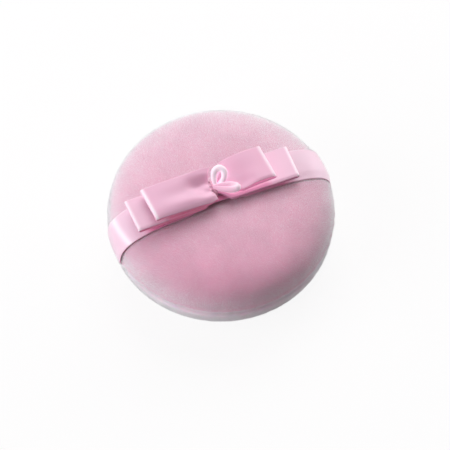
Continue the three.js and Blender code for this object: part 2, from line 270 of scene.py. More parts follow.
def new_material(name):
    """A material and its node tree."""
    material = bpy.data.materials.new(name)
    material.use_nodes = True
    return material, material.node_tree


def with_looks(material, looks):
    """The material, its shader set to the given colour, relief and finish."""
    tree = material.node_tree
    set_inputs(tree, tree.nodes["Principled BSDF"], looks)
    return material


def shaded(colour, amount):
    """A colour made lighter by an amount above 1 or darker by one below it."""
    return tuple(min(1.0, channel * amount) for channel in colour)


def varied(tree, pattern, colour, dark, light):
    """A colour that runs from a darker to a lighter shade with a pattern."""
    return mixed_colour(tree, pattern, shaded(colour, dark), shaded(colour, light))


def tinted(colour, amounts):
    """A colour with each channel changed by its own amount."""
    return tuple(channel * amount for channel, amount in zip(colour, amounts))


def object_place(tree):
    """Place on the piece, in its own coordinates."""
    return add_node(tree, "ShaderNodeTexCoord").outputs["Object"]


def object_noise(tree, scale, detail=2.0, roughness=0.5):
    """Cloudy noise in the piece's own coordinates."""
    return noise(tree, object_place(tree), scale, detail, roughness)[0]


def stored(tree, name):
    """A number stored on the piece's points."""
    return add_node(tree, "ShaderNodeAttribute", {"attribute_name": name}).outputs["Fac"]


def bumped(tree, height, strength, distance):
    """The normal of a surface that a height raises."""
    inputs = {"Height": height, "Strength": strength, "Distance": distance}
    return add_node(tree, "ShaderNodeBump", inputs=inputs).outputs[0]


def velour_tone(tree, colour):
    """Velour colour: soft brushed patches, with a painted highlight on the rolled hem and painted shade in
    the seam's groove.
    """
    patches = mapped(tree, object_noise(tree, BRUSHED_PATCHES, detail=3.0, roughness=0.6), *PATCH_EDGES)
    tone = varied(tree, patches, colour, dark=0.95, light=1.05)
    height = part_of(tree, object_place(tree), "Z")
    level = mapped(tree, height, SEAM_Z - GROOVE_REACH, SEAM_Z + GROOVE_REACH)
    # Painted shade in the seam's groove and painted highlight on the hem above it, set by height
    ramp = add_node(tree, "ShaderNodeValToRGB", inputs={"Fac": level})
    stops = ramp.color_ramp.elements
    for end in stops:
        end.color = (1.0, 1.0, 1.0, 1.0)
    for share, amount in PAINTED_GROOVE_TONES:
        stops.new(share).color = (amount, amount, amount, 1.0)
    return mixed_colour(tree, 1.0, tone, ramp.outputs[0], "MULTIPLY")


def velour_ground(name, colour):
    """Backing cloth seen between the tufts, finely rough."""
    material, tree = new_material(name)
    grain = object_noise(tree, scale=1500.0)
    looks = {
        "Base Color": velour_tone(tree, colour),
        "Normal": bumped(tree, grain, strength=0.15, distance=0.1 * MM),
        "Roughness": 0.95,
        "Sheen Weight": 0.5,
        "Sheen Roughness": 0.4,
        "Sheen Tint": (1.0, 0.9, 0.95, 1.0),
        "Subsurface Weight": 0.6,
        "Subsurface Radius": (1.0, 0.4, 0.55),
        "Subsurface Scale": 3.0 * MM,
    }
    return with_looks(material, looks)


def velour_tufts(name, colour, tip_sheen_colour):
    """Tufts of the pile, from the velour colour with painted shade at their roots to paler tips with a
    painted sheen, each a little lighter or darker.
    """
    material, tree = new_material(name)
    dark, light = ((shade, shade, shade) for shade in TUFT_SHADES)
    speck = mixed_colour(tree, stored(tree, "tuft_tint"), dark, light)
    up = stored(tree, "tuft_height")
    # Painted shade towards the roots and a painted sheen towards the tips
    painted_paleness = mixed_colour(tree, up, velour_tone(tree, colour), velour_tone(tree, tip_sheen_colour))
    looks = {
        "Base Color": mixed_colour(tree, 1.0, painted_paleness, speck, "MULTIPLY"),
        "Roughness": 0.85,
        "Sheen Weight": 0.5,
        "Sheen Roughness": 0.3,
        "Sheen Tint": (1.0, 0.96, 1.0, 1.0),
        "Subsurface Weight": 1.0,
        "Subsurface Radius": (1.0, 0.7, 0.8),
        "Subsurface Scale": 0.35 * MM,
    }
    return with_looks(material, looks)


def satin_ribbon(name, colour, painted_shade_tint):
    """Satin weave: long glossy floats, with painted shade on the edge, a painted highlight on folds and
    painted shade where another layer covers it.
    """
    material, tree = new_material(name)
    lay = add_node(tree, "ShaderNodeUVMap", {"uv_map": RIBBON_LAY}).outputs["UV"]
    stretched = add_node(tree, "ShaderNodeMapping", inputs={"Vector": lay, "Scale": FLOAT_STRETCH})
    floats = noise(tree, stretched.outputs[0], scale=5.0, detail=3.0, roughness=0.6)[0]
    tone = varied(tree, object_noise(tree, scale=60.0), colour, dark=0.97, light=1.04)
    off_middle = arithmetic(tree, "ABSOLUTE", part_of(tree, lay, "Y"))
    half = RIBBON_WIDTH / 2
    # Painted shade along the ribbon's edge walls
    edge = mapped(tree, off_middle, (half - EDGE_SHADE_WIDTH) / MM, half / MM)
    with_edge_shade = mixed_colour(tree, edge, tone, tinted(colour, EDGE_SHADE_TINT))
    painted_light = stored(tree, "painted_light")
    # Painted shade where another layer covers the ribbon
    painted_shade = arithmetic(tree, "MULTIPLY", painted_light, -1.0)
    with_covered_shade = mixed_colour(tree, painted_shade, with_edge_shade, tinted(colour, painted_shade_tint))
    tangent = add_node(tree, "ShaderNodeTangent", {"direction_type": "UV_MAP", "uv_map": RIBBON_LAY})
    looks = {
        # Painted highlight along the folds
        "Base Color": mixed_colour(tree, painted_light, with_covered_shade, HIGHLIGHT_COLOUR),
        "Normal": bumped(tree, floats, strength=0.25, distance=0.03 * MM),
        "Tangent": tangent.outputs[0],
        "Roughness": mapped(tree, floats, 0.0, 1.0, low=0.34, high=0.5),
        "Specular IOR Level": 0.45,
        "Anisotropic": 0.5,
        "Sheen Weight": 0.9,
        "Sheen Roughness": 0.5,
        "Subsurface Weight": 0.2,
        "Subsurface Radius": (1.0, 0.6, 0.7),
        "Subsurface Scale": 0.5 * MM,
    }
    return with_looks(material, looks)


def twisted_thread(name, colour):
    """Spun thread: slanting plies, painted lighter on their crests and darker between them as light and
    shade.
    """
    material, tree = new_material(name)
    inputs = {"Vector": object_place(tree), "Scale": 900.0, "Distortion": 1.5}
    plies = add_node(tree, "ShaderNodeTexWave", {"bands_direction": "DIAGONAL"}, inputs).outputs[1]
    looks = {
        "Base Color": varied(tree, plies, colour, dark=0.8, light=1.1),
        "Normal": bumped(tree, plies, strength=0.6, distance=0.05 * MM),
        "Roughness": 0.7,
        "Sheen Weight": 0.3,
    }
    return with_looks(material, looks)


def open_foam(name, colour):
    """Open cell foam: small pits of uneven size, painted darker in the pits as shade."""
    material, tree = new_material(name)
    inputs = {"Vector": object_place(tree), "Scale": 1100.0}
    pits = add_node(tree, "ShaderNodeTexVoronoi", inputs=inputs).outputs[0]
    looks = {
        "Base Color": varied(tree, pits, colour, dark=0.75, light=1.0),
        "Normal": bumped(tree, pits, strength=0.8, distance=0.4 * MM),
        "Roughness": 1.0,
    }
    return with_looks(material, looks)


def loose_fibre(name, colour):
    """Fibre wadding: soft strands lying every way, painted lighter on the raised strands and darker in the
    hollows between them as light and shade.
    """
    material, tree = new_material(name)
    strands = object_noise(tree, scale=700.0, detail=6.0, roughness=0.7)
    looks = {
        "Base Color": varied(tree, strands, colour, dark=0.85, light=1.08),
        "Normal": bumped(tree, strands, strength=0.7, distance=0.5 * MM),
        "Roughness": 1.0,
        "Sheen Weight": 0.4,
    }
    return with_looks(material, looks)


# Meshes
def link_object(name, data):
    """A new object at the origin, in the scene."""
    item = bpy.data.objects.new(name, data)
    bpy.context.scene.collection.objects.link(item)
    return item


def evaluated_mesh(piece):
    """The piece's mesh with its modifiers applied, as a new plain mesh."""
    bpy.context.view_layer.update()
    graph = bpy.context.evaluated_depsgraph_get()
    return bpy.data.meshes.new_from_object(piece.evaluated_get(graph))


def settle(piece):
    """Replaces the piece's mesh by its evaluated one and takes its modifiers off."""
    made = evaluated_mesh(piece)
    before = piece.data
    piece.modifiers.clear()
    piece.data = made
    bpy.data.meshes.remove(before)


def subdivide(piece, levels, kind):
    """Splits the piece's faces finer, rounding them or not."""
    finer = piece.modifiers.new("Finer", "SUBSURF")
    finer.subdivision_type = kind
    finer.levels = levels
    finer.render_levels = levels
    settle(piece)


def smooth(mesh):
    """Shades every face of a mesh smooth."""
    mesh.polygons.foreach_set("use_smooth", np.ones(len(mesh.polygons), bool))


def points_of(mesh):
    """The mesh's points as an array."""
    flat = np.zeros(len(mesh.vertices) * 3)
    mesh.vertices.foreach_get("co", flat)
    return flat.reshape(-1, 3)


def set_points(mesh, points):
    """Writes an array of points back to the mesh."""
    mesh.vertices.foreach_set("co", points.ravel())
    mesh.update()


def store_values(mesh, name, values):
    """Stores a number on each point of a mesh under a name."""
    layer = mesh.attributes.get(name) or mesh.attributes.new(name, "FLOAT", "POINT")
    layer.data.foreach_set("value", values.astype(np.float32).ravel())


def set_lay(mesh, lay):
    """Maps each point of a mesh to its place on the flat ribbon, in millimetres."""
    layer = mesh.uv_layers.new(name=RIBBON_LAY)
    corners = np.zeros(len(mesh.loops), int)
    mesh.loops.foreach_get("vertex_index", corners)
    layer.data.foreach_set("uv", lay.reshape(-1, 2)[corners].ravel())


def merge_doubles(mesh, distance, turn_out):
    """Joins points that lie together and, where asked, turns the faces outwards."""
    work = bmesh.new()
    work.from_mesh(mesh)
    bmesh.ops.remove_doubles(work, verts=work.verts[:], dist=distance)
    if turn_out:
        bmesh.ops.recalc_face_normals(work, faces=work.faces[:])
    work.to_mesh(mesh)
    work.free()


def grid_mesh(name, rows, closed=False):
    """A mesh from rows of points, with the last row joined to the first where it is closed."""
    count, across = rows.shape[:2]
    index = np.arange(count * across).reshape(count, across)
    if closed:
        index = np.concatenate([index, index[:1]])
    faces = np.stack([index[:-1, :-1], index[1:, :-1], index[1:, 1:], index[:-1, 1:]], -1)
    mesh = bpy.data.meshes.new(name)
    mesh.from_pydata(rows.reshape(-1, 3).tolist(), [], faces.reshape(-1, 4).tolist())
    return mesh


def line_mesh(name, points, closed):
    """A mesh of edges only, through the points."""
    count = len(points)
    edges = [(i, i + 1) for i in range(count - 1)]
    if closed:
        edges.append((count - 1, 0))
    mesh = bpy.data.meshes.new(name)
    mesh.from_pydata(points.tolist(), edges, [])
    return mesh


def lengths_along(points):
    """Distance along a line of points, from its first."""
    steps = np.linalg.norm(np.diff(points, axis=0), axis=1)
    return np.concatenate([[0.0], np.cumsum(steps)])


def evenly(points, spacing):
    """Points spaced evenly along a line of points."""
    along = lengths_along(points)
    steps = round(along[-1] / spacing)
    wanted = np.linspace(0.0, along[-1], steps + 1)
    return np.stack([np.interp(wanted, along, points[:, k]) for k in range(points.shape[1])], 1)


def paint(piece, material):
    """Gives a piece its one material."""
    piece.data.materials.clear()
    piece.data.materials.append(material)


def hand_over(piece, body=None, node=None):
    """Puts a piece on the body it rides on and hides the frame's node that it stands for."""
    if body:
        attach(piece, body)
    if node:
        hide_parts(node)


# Geometry Nodes
def new_tree(name, **inputs):
    """A Geometry Nodes tree with named inputs, and the sockets that give them."""
    tree = bpy.data.node_groups.new(name, "GeometryNodeTree")
    for key, kind in {"Geometry": "Geometry", **inputs, "Material": "Material"}.items():
        tree.interface.new_socket(name=key, in_out="INPUT", socket_type=f"NodeSocket{kind}")
    tree.interface.new_socket(name="Geometry", in_out="OUTPUT", socket_type="NodeSocketGeometry")
    return tree, tree.nodes.new("NodeGroupInput").outputs


def end_tree(tree, geometry, material):
    """Ends a tree in real geometry with its material set."""
    real = add_node(tree, "GeometryNodeRealizeInstances", inputs={"Geometry": geometry}).outputs[0]
    painted = add_node(tree, "GeometryNodeSetMaterial", inputs={"Geometry": real, "Material": material})
    add_node(tree, "NodeGroupOutput", inputs={0: painted.outputs[0]})
    return tree


def point_value(tree, name):
    """A number stored on the points of the source."""
    settings = {"data_type": "FLOAT"}
    return add_node(tree, "GeometryNodeInputNamedAttribute", settings, {"Name": name}).outputs[0]


def random_number(tree, low, high, seed):
    """A random number for each instance, from a fixed seed."""
    inputs = {RANDOM_LOW: low, RANDOM_HIGH: high, "Seed": seed}
    return add_node(tree, "FunctionNodeRandomValue", {"data_type": "FLOAT"}, inputs).outputs[RANDOM_RESULT]


def with_value(tree, geometry, name, value, domain, kind="FLOAT"):
    """The geometry with a value stored on it under a name."""
    settings = {"data_type": kind, "domain": domain}
    inputs = {"Geometry": geometry, "Name": name, "Value": value}
    return add_node(tree, "GeometryNodeStoreNamedAttribute", settings, inputs).outputs[0]


def turned_to(tree, direction):
    """The turn that points a shape's own Z along a direction."""
    settings = {"axis": "Z"}
    return add_node(tree, "FunctionNodeAlignRotationToVector", settings, {"Vector": direction}).outputs[0]


def line_of(tree, source):
    """The curve along a source's edges."""
    return add_node(tree, "GeometryNodeMeshToCurve", inputs={"Mesh": source}).outputs[0]


def run_tree(name, source, tree, values):
    """A new plain mesh object: what a Geometry Nodes tree makes of a source mesh."""
    maker = link_object(name, source.copy())
    modifier = maker.modifiers.new("Maker", "NODES")
    modifier.node_group = tree
    for item in tree.interface.items_tree:
        if item.in_out == "INPUT" and item.name in values:
            modifier[item.identifier] = values[item.name]
    settle(maker)
    if not maker.data.polygons:
        raise RuntimeError(f"{name} came out empty")
    return maker


# Padded covers

# The blank that is blown up: how much smaller it starts, its mesh, and how far it may swell
BLANK_SHRINK = 0.8 * MM
BLANK_POINTS = 40
BLANK_AROUND = 96
BLANK_MERGE = 0.001 * MM
BLANK_VOXEL = 2.6 * MM
SWELL_PRESSURE = 4.0
SWELL_FRAMES = 20
SWELL_LIMIT = 1.8 * MM
# Distances from the knot between which the strap widens, and beside it over which it presses
PINCH_REACH = (3 * MM, 12 * MM)
PRESS_FADE = 5 * MM
# Largest share by which free cloth swells past the outline, and share of the pile's length it lies below
FREE_SWELL = 0.012
CLOTH_UNDER_PILE = 0.8
# Shares of the radius between which the seam starts to draw the covers in
RIM = (0.6, 0.9)
# Small gathers round the seam: their number, how their spacing wanders, their strength and reach
GATHERS_ROUND = 46
WANDER_WAVES = ((5, 1.0), (3, 2.0))
WANDER = 2.5
GATHER_STRENGTH = 0.6
GATHER_UNEVENNESS = 0.2
GATHER_REACH = 4.5 * MM
# Reach of the rolled hem above the seam, and half the gap between the two covers
RIDGE_REACH = 1.1 * MM
HALF_GAP = 0.06 * MM
# Where the pile stands, and how tall it is under the strap
PILE_FROM_SEAM = (0.5 * MM, 1.4 * MM)
PILE_ABOVE_BASE = 0.9 * MM
PILE_PAST_STRAP = 0.1 * MM
PRESSED_PILE = 0.4
# How the tufts differ in lean, height and shade, and the seeds of those three
STRAY_LEAN = 0.3
TUFT_HEIGHTS = (0.65, 1.2)
STRAY_SEED = 11
HEIGHT_SEED = 23
SHADE_SEED = 37
# Names under which a cover stores how close its pile stands and how tall it is
PILE_AMOUNT = "pile"
PILE_HEIGHT = "pile_height"
# Quarters in which a pile is made: name, whether in front and whether on the right
PILE_QUARTERS = (
    ("front_left", True, False),
    ("front_right", True, True),
    ("back_left", False, False),
    ("back_right", False, True),
)


def cushion_outline(radius, rise, fullness, count):
    """Rounded cushion outline from the rim to the middle, as distances out and up."""
    angle = np.linspace(0.0, math.pi / 2.0, count)
    power = 2.0 / fullness
    out = radius * np.clip(np.cos(angle), 0.0, 1.0) ** power
    up = rise * np.clip(np.sin(angle), 0.0, 1.0) ** power
    return out, up


def groove_at(height, sizes):
    """How far the covers are drawn in at a height above or below the seam."""
    return sizes.groove_depth * (1.0 - share_between(np.abs(height), 0.0, sizes.groove_half_width))


def to_outline(points, sizes):
    """Scale that carries each point to the cushion's outline, along the line from its middle."""
    radius = sizes.diameter / 2.0
    up = points[:, 2] - SEAM_Z
    out = np.hypot(points[:, 0], points[:, 1])
    rise = np.where(up > 0, CROWN_Z - SEAM_Z, SEAM_Z + sizes.base_flattening)
    fullness = np.where(up > 0, sizes.crown_fullness, sizes.base_fullness)
    level = (out / radius) ** fullness + (np.abs(up) / rise) ** fullness
    return np.maximum(level, TINY) ** (-1.0 / fullness)


def near_knot(x):
    """1 at the knot, falling to 0 where the strap has its full width."""
    return 1.0 - share_between(np.abs(x - KNOT_X), *PINCH_REACH)


def strap_half_width(x, ribbon):
    """Half the strap's width, narrowed towards the knot."""
    pinch = (ribbon.width - ribbon.pinch_width) / 2.0
    return ribbon.width / 2.0 - pinch * near_knot(x)


def swell(piece, radius):
    """Blows the blank up as cloth, held at the seam and the base, and limits how far it moves."""
    scene = bpy.context.scene
    rest = points_of(piece.data)
    out = np.hypot(rest[:, 0], rest[:, 1])
    at_seam = (np.abs(rest[:, 2] - SEAM_Z) < BLANK_VOXEL) & (out > radius - 2 * BLANK_VOXEL)
    at_base = rest[:, 2] < BLANK_VOXEL
    held = piece.vertex_groups.new(name="held")
    held.add(np.nonzero(at_seam | at_base)[0].tolist(), 1.0, "REPLACE")
    cloth = piece.modifiers.new("Cloth", "CLOTH")
    cloth.settings.vertex_group_mass = held.name
    cloth.settings.use_pressure = True
    cloth.settings.uniform_pressure_force = SWELL_PRESSURE
    cloth.settings.effector_weights.gravity = 0.0
    cloth.point_cache.frame_start = 1
    cloth.point_cache.frame_end = SWELL_FRAMES
    for step in range(1, SWELL_FRAMES + 1):
        scene.frame_set(step)
    swollen = evaluated_mesh(piece)
    moved = points_of(swollen) - rest
    length = np.linalg.norm(moved, axis=1, keepdims=True)
    moved *= np.minimum(1.0, SWELL_LIMIT / np.maximum(length, TINY))
    piece.modifiers.clear()
    bpy.data.meshes.remove(swollen)
    set_points(piece.data, rest + moved)
    scene.frame_set(1)


def simulated_cushion(sizes):
    """The closed cushion, swollen by a short cloth simulation."""
    radius = sizes.diameter / 2.0 - BLANK_SHRINK
    crown_rise = CROWN_Z - SEAM_Z - BLANK_SHRINK
    base_out, base_up = cushion_outline(radius, SEAM_Z - BLANK_SHRINK, sizes.base_fullness, BLANK_POINTS)
    crown_out, crown_up = cushion_outline(radius, crown_rise, sizes.crown_fullness, BLANK_POINTS)
    radii = np.concatenate([base_out[::-1], crown_out[1:]])
    heights = SEAM_Z + np.concatenate([-base_up[::-1], crown_up[1:]])
    angle = np.linspace(0.0, 2.0 * math.pi, BLANK_AROUND, endpoint=False)[:, None]
    turned = np.broadcast_arrays(radii * np.cos(angle), radii * np.sin(angle), heights)
    mesh = grid_mesh("cushion_blank", np.stack(turned, -1), closed=True)
    merge_doubles(mesh, BLANK_MERGE, turn_out=False)
    piece = link_object("cushion_blank", mesh)
    mesh.remesh_voxel_size = BLANK_VOXEL
    bpy.context.view_layer.objects.active = piece
    bpy.ops.object.voxel_remesh()
    swell(piece, radius)
    subdivide(piece, 2, "CATMULL_CLARK")
    return piece


def sewn_cushion(sizes, ribbon):
    """The cushion drawn in along its seam, pressed by the strap and flat where it rests."""
    piece = simulated_cushion(sizes)
    points = points_of(piece.data)
    middle = np.array([0.0, 0.0, SEAM_Z])
    edge = ribbon.width / 2
    under_strap = 1.0 - share_between(np.abs(points[:, 1]), edge, edge + PRESS_FADE)
    under_strap *= points[:, 2] > SEAM_Z
    pull = (1.0 - sizes.softness) + sizes.softness * under_strap
    outline = to_outline(points, sizes)
    scale = np.clip(outline**pull, None, outline * (1 + FREE_SWELL * (1 - under_strap)))
    points = middle + (points - middle) * scale[:, None]
    distance = np.linalg.norm(points - middle, axis=1, keepdims=True)
    points -= (points - middle) / np.maximum(distance, TINY) * CLOTH_UNDER_PILE * sizes.pile_length
    up = points[:, 2] - SEAM_Z
    out = np.hypot(points[:, 0], points[:, 1])
    angle = np.arctan2(points[:, 1], points[:, 0])
    at_rim = share_between(out / (sizes.diameter / 2), *RIM)
    wander = sum(np.cos(waves * angle + phase) for waves, phase in WANDER_WAVES)
    strength = GATHER_STRENGTH + GATHER_UNEVENNESS * wander
    ripple = strength * np.cos(GATHERS_ROUND * angle + WANDER * wander)
    drawn = groove_at(up, sizes) + sizes.pucker * ripple * bell(up, 0.0, GATHER_REACH)
    drawn -= sizes.ridge * bell(up, sizes.groove_half_width, RIDGE_REACH)
    factor = np.maximum(out - drawn * at_rim, 0.0) / np.maximum(out, TINY)
    points[:, :2] *= factor[:, None]
    points[:, 2] = np.maximum(points[:, 2], 0.0)
    set_points(piece.data, points)
    return piece


def half_of(piece, name, side):
    """The cushion's half above the seam, side 1, or below it, side -1, closed at the seam."""
    work = bmesh.new()
    work.from_mesh(piece.data)
    cut = bmesh.ops.bisect_plane(
        work,
        geom=work.verts[:] + work.edges[:] + work.faces[:],
        plane_co=(0, 0, SEAM_Z + side * HALF_GAP),
        plane_no=(0, 0, -side),
        clear_outer=True,
    )
    rim = [item for item in cut["geom_cut"] if isinstance(item, bmesh.types.BMEdge)]
    bmesh.ops.contextual_create(work, geom=rim)
    bmesh.ops.recalc_face_normals(work, faces=work.faces[:])
    mesh = bpy.data.meshes.new(name)
    work.to_mesh(mesh)
    work.free()
    smooth(mesh)
    return link_object(name, mesh)


def mark_pile(mesh, ribbon, front, right):
    """Stores where the pile stands on one quarter, not in the seam or on the base, and how tall it is."""
    x, y, z = points_of(mesh).T
    amount = share_between(np.abs(z - SEAM_Z), *PILE_FROM_SEAM)
    elsewhere = ((y < 0) != front) | ((x > 0) != right)
    resting = z < PILE_ABOVE_BASE
    pressed = (np.abs(y) < strap_half_width(x, ribbon) - PILE_PAST_STRAP) & (z > SEAM_Z)
    store_values(mesh, PILE_AMOUNT, np.where(elsewhere | resting, 0.0, amount))
    store_values(mesh, PILE_HEIGHT, np.where(pressed, PRESSED_PILE, 1.0))


def pile_tree():
    """Geometry Nodes that stand tufts on a cover, leaning in brushed patches."""
    tree, given = new_tree(
        "VelourPile", Density="Float", Length="Float", Width="Float", Lean="Float", Seed="Int"
    )
    density = arithmetic(tree, "MULTIPLY", point_value(tree, PILE_AMOUNT), given["Density"])
    scattered = add_node(
        tree,
        "GeometryNodeDistributePointsOnFaces",
        inputs={"Mesh": given["Geometry"], "Density": density, "Seed": given["Seed"]},
    ).outputs
    place = add_node(tree, "GeometryNodeInputPosition").outputs[0]
    brushed = noise(tree, place, BRUSHED_PATCHES)["Color"]
    centred = vector_arithmetic(tree, "SUBTRACT", brushed, (0.5, 0.5, 0.5))
    leaning = vector_arithmetic(tree, "MULTIPLY", centred, given["Lean"])
    stray = add_node(
        tree,
        "FunctionNodeRandomValue",
        {"data_type": "FLOAT_VECTOR"},
        {"Min": (-STRAY_LEAN,) * 3, "Max": (STRAY_LEAN,) * 3, "Seed": STRAY_SEED},
    ).outputs[0]
    upright = vector_arithmetic(tree, "ADD", scattered["Normal"], leaning)
    direction = vector_arithmetic(tree, "ADD", upright, stray)
    cone = {
        "Vertices": 3,
        "Radius Top": 0.0,
        "Radius Bottom": arithmetic(tree, "MULTIPLY", given["Width"], 0.5),
        "Depth": given["Length"],
    }
    tuft = add_node(tree, "GeometryNodeMeshCone", {"fill_type": "NONE"}, cone).outputs["Mesh"]
    up_tuft = arithmetic(tree, "DIVIDE", part_of(tree, place, "Z"), given["Length"])
    height = random_number(tree, *TUFT_HEIGHTS, HEIGHT_SEED)
    pressed = arithmetic(tree, "MULTIPLY", height, point_value(tree, PILE_HEIGHT))
    scale = add_node(tree, "ShaderNodeCombineXYZ", inputs={"X": height, "Y": height, "Z": pressed})
    standing = add_node(
        tree,
        "GeometryNodeInstanceOnPoints",
        inputs={
            "Points": scattered["Points"],
            "Instance": with_value(tree, tuft, "tuft_height", up_tuft, "POINT"),
            "Rotation": turned_to(tree, direction),
            "Scale": scale.outputs[0],
        },
    ).outputs[0]
    shade = random_number(tree, 0.0, 1.0, SHADE_SEED)
    shades = with_value(tree, standing, "tuft_tint", shade, "INSTANCE")
    rooted = with_value(tree, shades, "ground_normal", scattered["Normal"], "INSTANCE", "FLOAT_VECTOR")
    return end_tree(tree, rooted, given["Material"])


def soften_pile(mesh):
    """Lets each tuft catch the light as the cloth under it does, so that the pile looks soft."""
    smooth(mesh)
    layer = mesh.attributes["ground_normal"]
    flat = np.zeros(len(mesh.vertices) * 3, np.float32)
    layer.data.foreach_get("vector", flat)
    mesh.attributes.remove(layer)
    mesh.normals_split_custom_set_from_vertices(flat.reshape(-1, 3).tolist())


class PUFF_OT_covers(bpy.types.Operator):
    """Makes both padded covers and the pile that stands on them"""

    bl_idname = "puff.covers"
    bl_label = "Covers"

    def execute(self, context):
        sizes, ribbon, finishes = settings_of(context)
        cushion = sewn_cushion(sizes, ribbon)
        tree = pile_tree()
        tip_sheen = tuple(finishes.velour_tip_sheen)
        # Name, side of the seam, colour and first seed of each half
        halves = (("top", 1, finishes.velour, 3), ("bottom", -1, finishes.velour_under, 5))
        for half, side, colour, seed in halves:
            cover = half_of(cushion, f"{half}_velour_cover", side)
            values = {
                "Density": sizes.pile_density,
                "Length": sizes.pile_length,
                "Width": sizes.pile_width,
                "Lean": sizes.pile_lean,
                "Material": velour_tufts(f"{half}_velour_tufts", tuple(colour), tip_sheen),
            }
            for count, (quarter, front, right) in enumerate(PILE_QUARTERS):
                mark_pile(cover.data, ribbon, front, right)
                values["Seed"] = seed + count
                pile = run_tree(f"{half}_velour_pile_{quarter}", cover.data, tree, values)
                soften_pile(pile.data)
                # The pile casts no shadow, which stands for light that passes between its tufts
                pile.visible_shadow = False
                hand_over(pile, "puff")
            for mark in (PILE_AMOUNT, PILE_HEIGHT):
                cover.data.attributes.remove(cover.data.attributes[mark])
            paint(cover, velour_ground(f"{half}_velour_ground", tuple(colour)))
            hand_over(cover, "puff", f"{half}_cover")
        bpy.data.objects.remove(cushion)
        return {"FINISHED"}


# Filling
FILLING_MERGE = 0.01 * MM
# Depth of the wadding's hollows and their waves in each metre, as angles
WADDING_LUMP = 0.3 * MM
WADDING_WAVES = (420, 380)


class PUFF_OT_filling(bpy.types.Operator):
    """Makes the foam disc and the wadding inside the covers"""

    bl_idname = "puff.filling"
    bl_label = "Filling"

    def execute(self, context):
        _, _, finishes = settings_of(context)
        colour = tuple(finishes.filling)
        fibre = loose_fibre("fibre_wadding", colour)
        foam = open_foam("open_cell_foam", colour)
        fillings = (
            ("foam_core", "foam_disc", foam, "foam", 0.0),
            ("upper_fibre_wadding", "upper_wadding", fibre, "wadding", WADDING_LUMP),
            ("lower_fibre_wadding", "lower_wadding", fibre, "wadding", WADDING_LUMP),
        )
        for name, node, material, slot, lump in fillings:
            piece = link_object(name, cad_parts[node].data.copy())
            merge_doubles(piece.data, FILLING_MERGE, turn_out=False)
            subdivide(piece, 1, "SIMPLE")
            points = points_of(piece.data)
            wave = np.sin(points[:, 0] * WADDING_WAVES[0]) * np.sin(points[:, 1] * WADDING_WAVES[1] + 1.0)
            points[:, 2] += lump * np.minimum(wave, 0.0) * np.sign(points[:, 2] - SEAM_Z)
            set_points(piece.data, points)
            smooth(piece.data)
            paint(piece, material)
            hand_over(piece, "puff", node)
        return {"FINISHED"}


# Seam
STITCH_LENGTH = 1.9 * MM
STITCH_SLANT = 0.35
STITCH_STAND = 0.05 * MM
STITCH_BELOW_SEAM = 0.25 * MM
SEAM_POINTS = 180


def stitch_tree():
    """Geometry Nodes that set slanting stitches along a closed line."""
    tree, given = new_tree("SeamStitches", Count="Int", Length="Float", Thickness="Float", Slant="Float")
    along = {"Curve": line_of(tree, given["Geometry"]), "Count": given["Count"]}
    spaced = add_node(tree, "GeometryNodeCurveToPoints", {"mode": "COUNT"}, along).outputs
    cylinder = {
        "Vertices": 6,
        "Side Segments": 3,
        "Radius": arithmetic(tree, "MULTIPLY", given["Thickness"], 0.5),
        "Depth": given["Length"],
    }
    stitch = add_node(tree, "GeometryNodeMeshCylinder", {"fill_type": "TRIANGLE_FAN"}, cylinder)
    tilt = add_node(tree, "ShaderNodeCombineXYZ", inputs={"Z": given["Slant"]}).outputs[0]
    slanted = vector_arithmetic(tree, "ADD", spaced["Tangent"], tilt)
    placed = add_node(
        tree,
        "GeometryNodeInstanceOnPoints",
        inputs={
            "Points": spaced["Points"],
            "Instance": stitch.outputs["Mesh"],
            "Rotation": turned_to(tree, slanted),
        },
    ).outputs[0]
    return end_tree(tree, placed, given["Material"])


class PUFF_OT_seam(bpy.types.Operator):
    """Makes the closing stitches in the groove between the covers"""

    bl_idname = "puff.seam"
    bl_label = "Seam stitches"

    def execute(self, context):
        sizes, ribbon, finishes = settings_of(context)
        angle = np.linspace(0.0, 2.0 * math.pi, SEAM_POINTS, endpoint=False)
        radius = sizes.diameter / 2 - sizes.groove_depth + STITCH_STAND
        height = np.full(SEAM_POINTS, SEAM_Z - STITCH_BELOW_SEAM)
        points = np.stack([radius * np.cos(angle), radius * np.sin(angle), height], 1)
        values = {
            "Count": sizes.stitches,
            "Length": STITCH_LENGTH,
            "Thickness": ribbon.thread,
            "Slant": STITCH_SLANT,
            "Material": twisted_thread("seam_thread_twist", tuple(finishes.thread)),
        }
        piece = run_tree("seam_stitches", line_mesh("seam_line", points, True), stitch_tree(), values)
        smooth(piece.data)
        hand_over(piece, "puff", "seam_thread")
        return {"FINISHED"}


# Ribbon
def flat_lay(side_view, share, width):
    """The ribbon's flat lay in millimetres for each point of its rows."""
    along = lengths_along(side_view) / MM
    u = np.repeat(along[:, None], len(share), 1)
    v = np.repeat((share * width / 2 / MM)[None, :], len(along), 0)
    return np.stack([u, v], -1)


def ribbon_piece(name, rows, lay, painted_light, ribbon, material, node=None):
    """A ribbon with real thickness from rows of points on its middle surface, with painted highlights along
    its folds and painted shade where it is covered.
    """
    mesh = grid_mesh(name, rows)
    set_lay(mesh, lay)
    store_values(mesh, "painted_light", np.broadcast_to(painted_light, rows.shape[:2]))
    piece = link_object(name, mesh)
    wall = piece.modifiers.new("Wall", "SOLIDIFY")
    wall.thickness = ribbon.thickness
    wall.offset = 0.0
    wall.use_even_offset = False
    settle(piece)
    smooth(piece.data)
    paint(piece, material)
    hand_over(piece, node=node)
    return piece


# Strap
STRAP_STEP = 0.6 * MM
STRAP_ACROSS = 25
STRAP_OUTLINE_POINTS = 500
# How the ends turn out of the seam
STRAP_END_LIFT = 0.2 * MM
STRAP_TURN_OUT = 0.45 * MM
STRAP_TURN_UP = 0.12 * MM
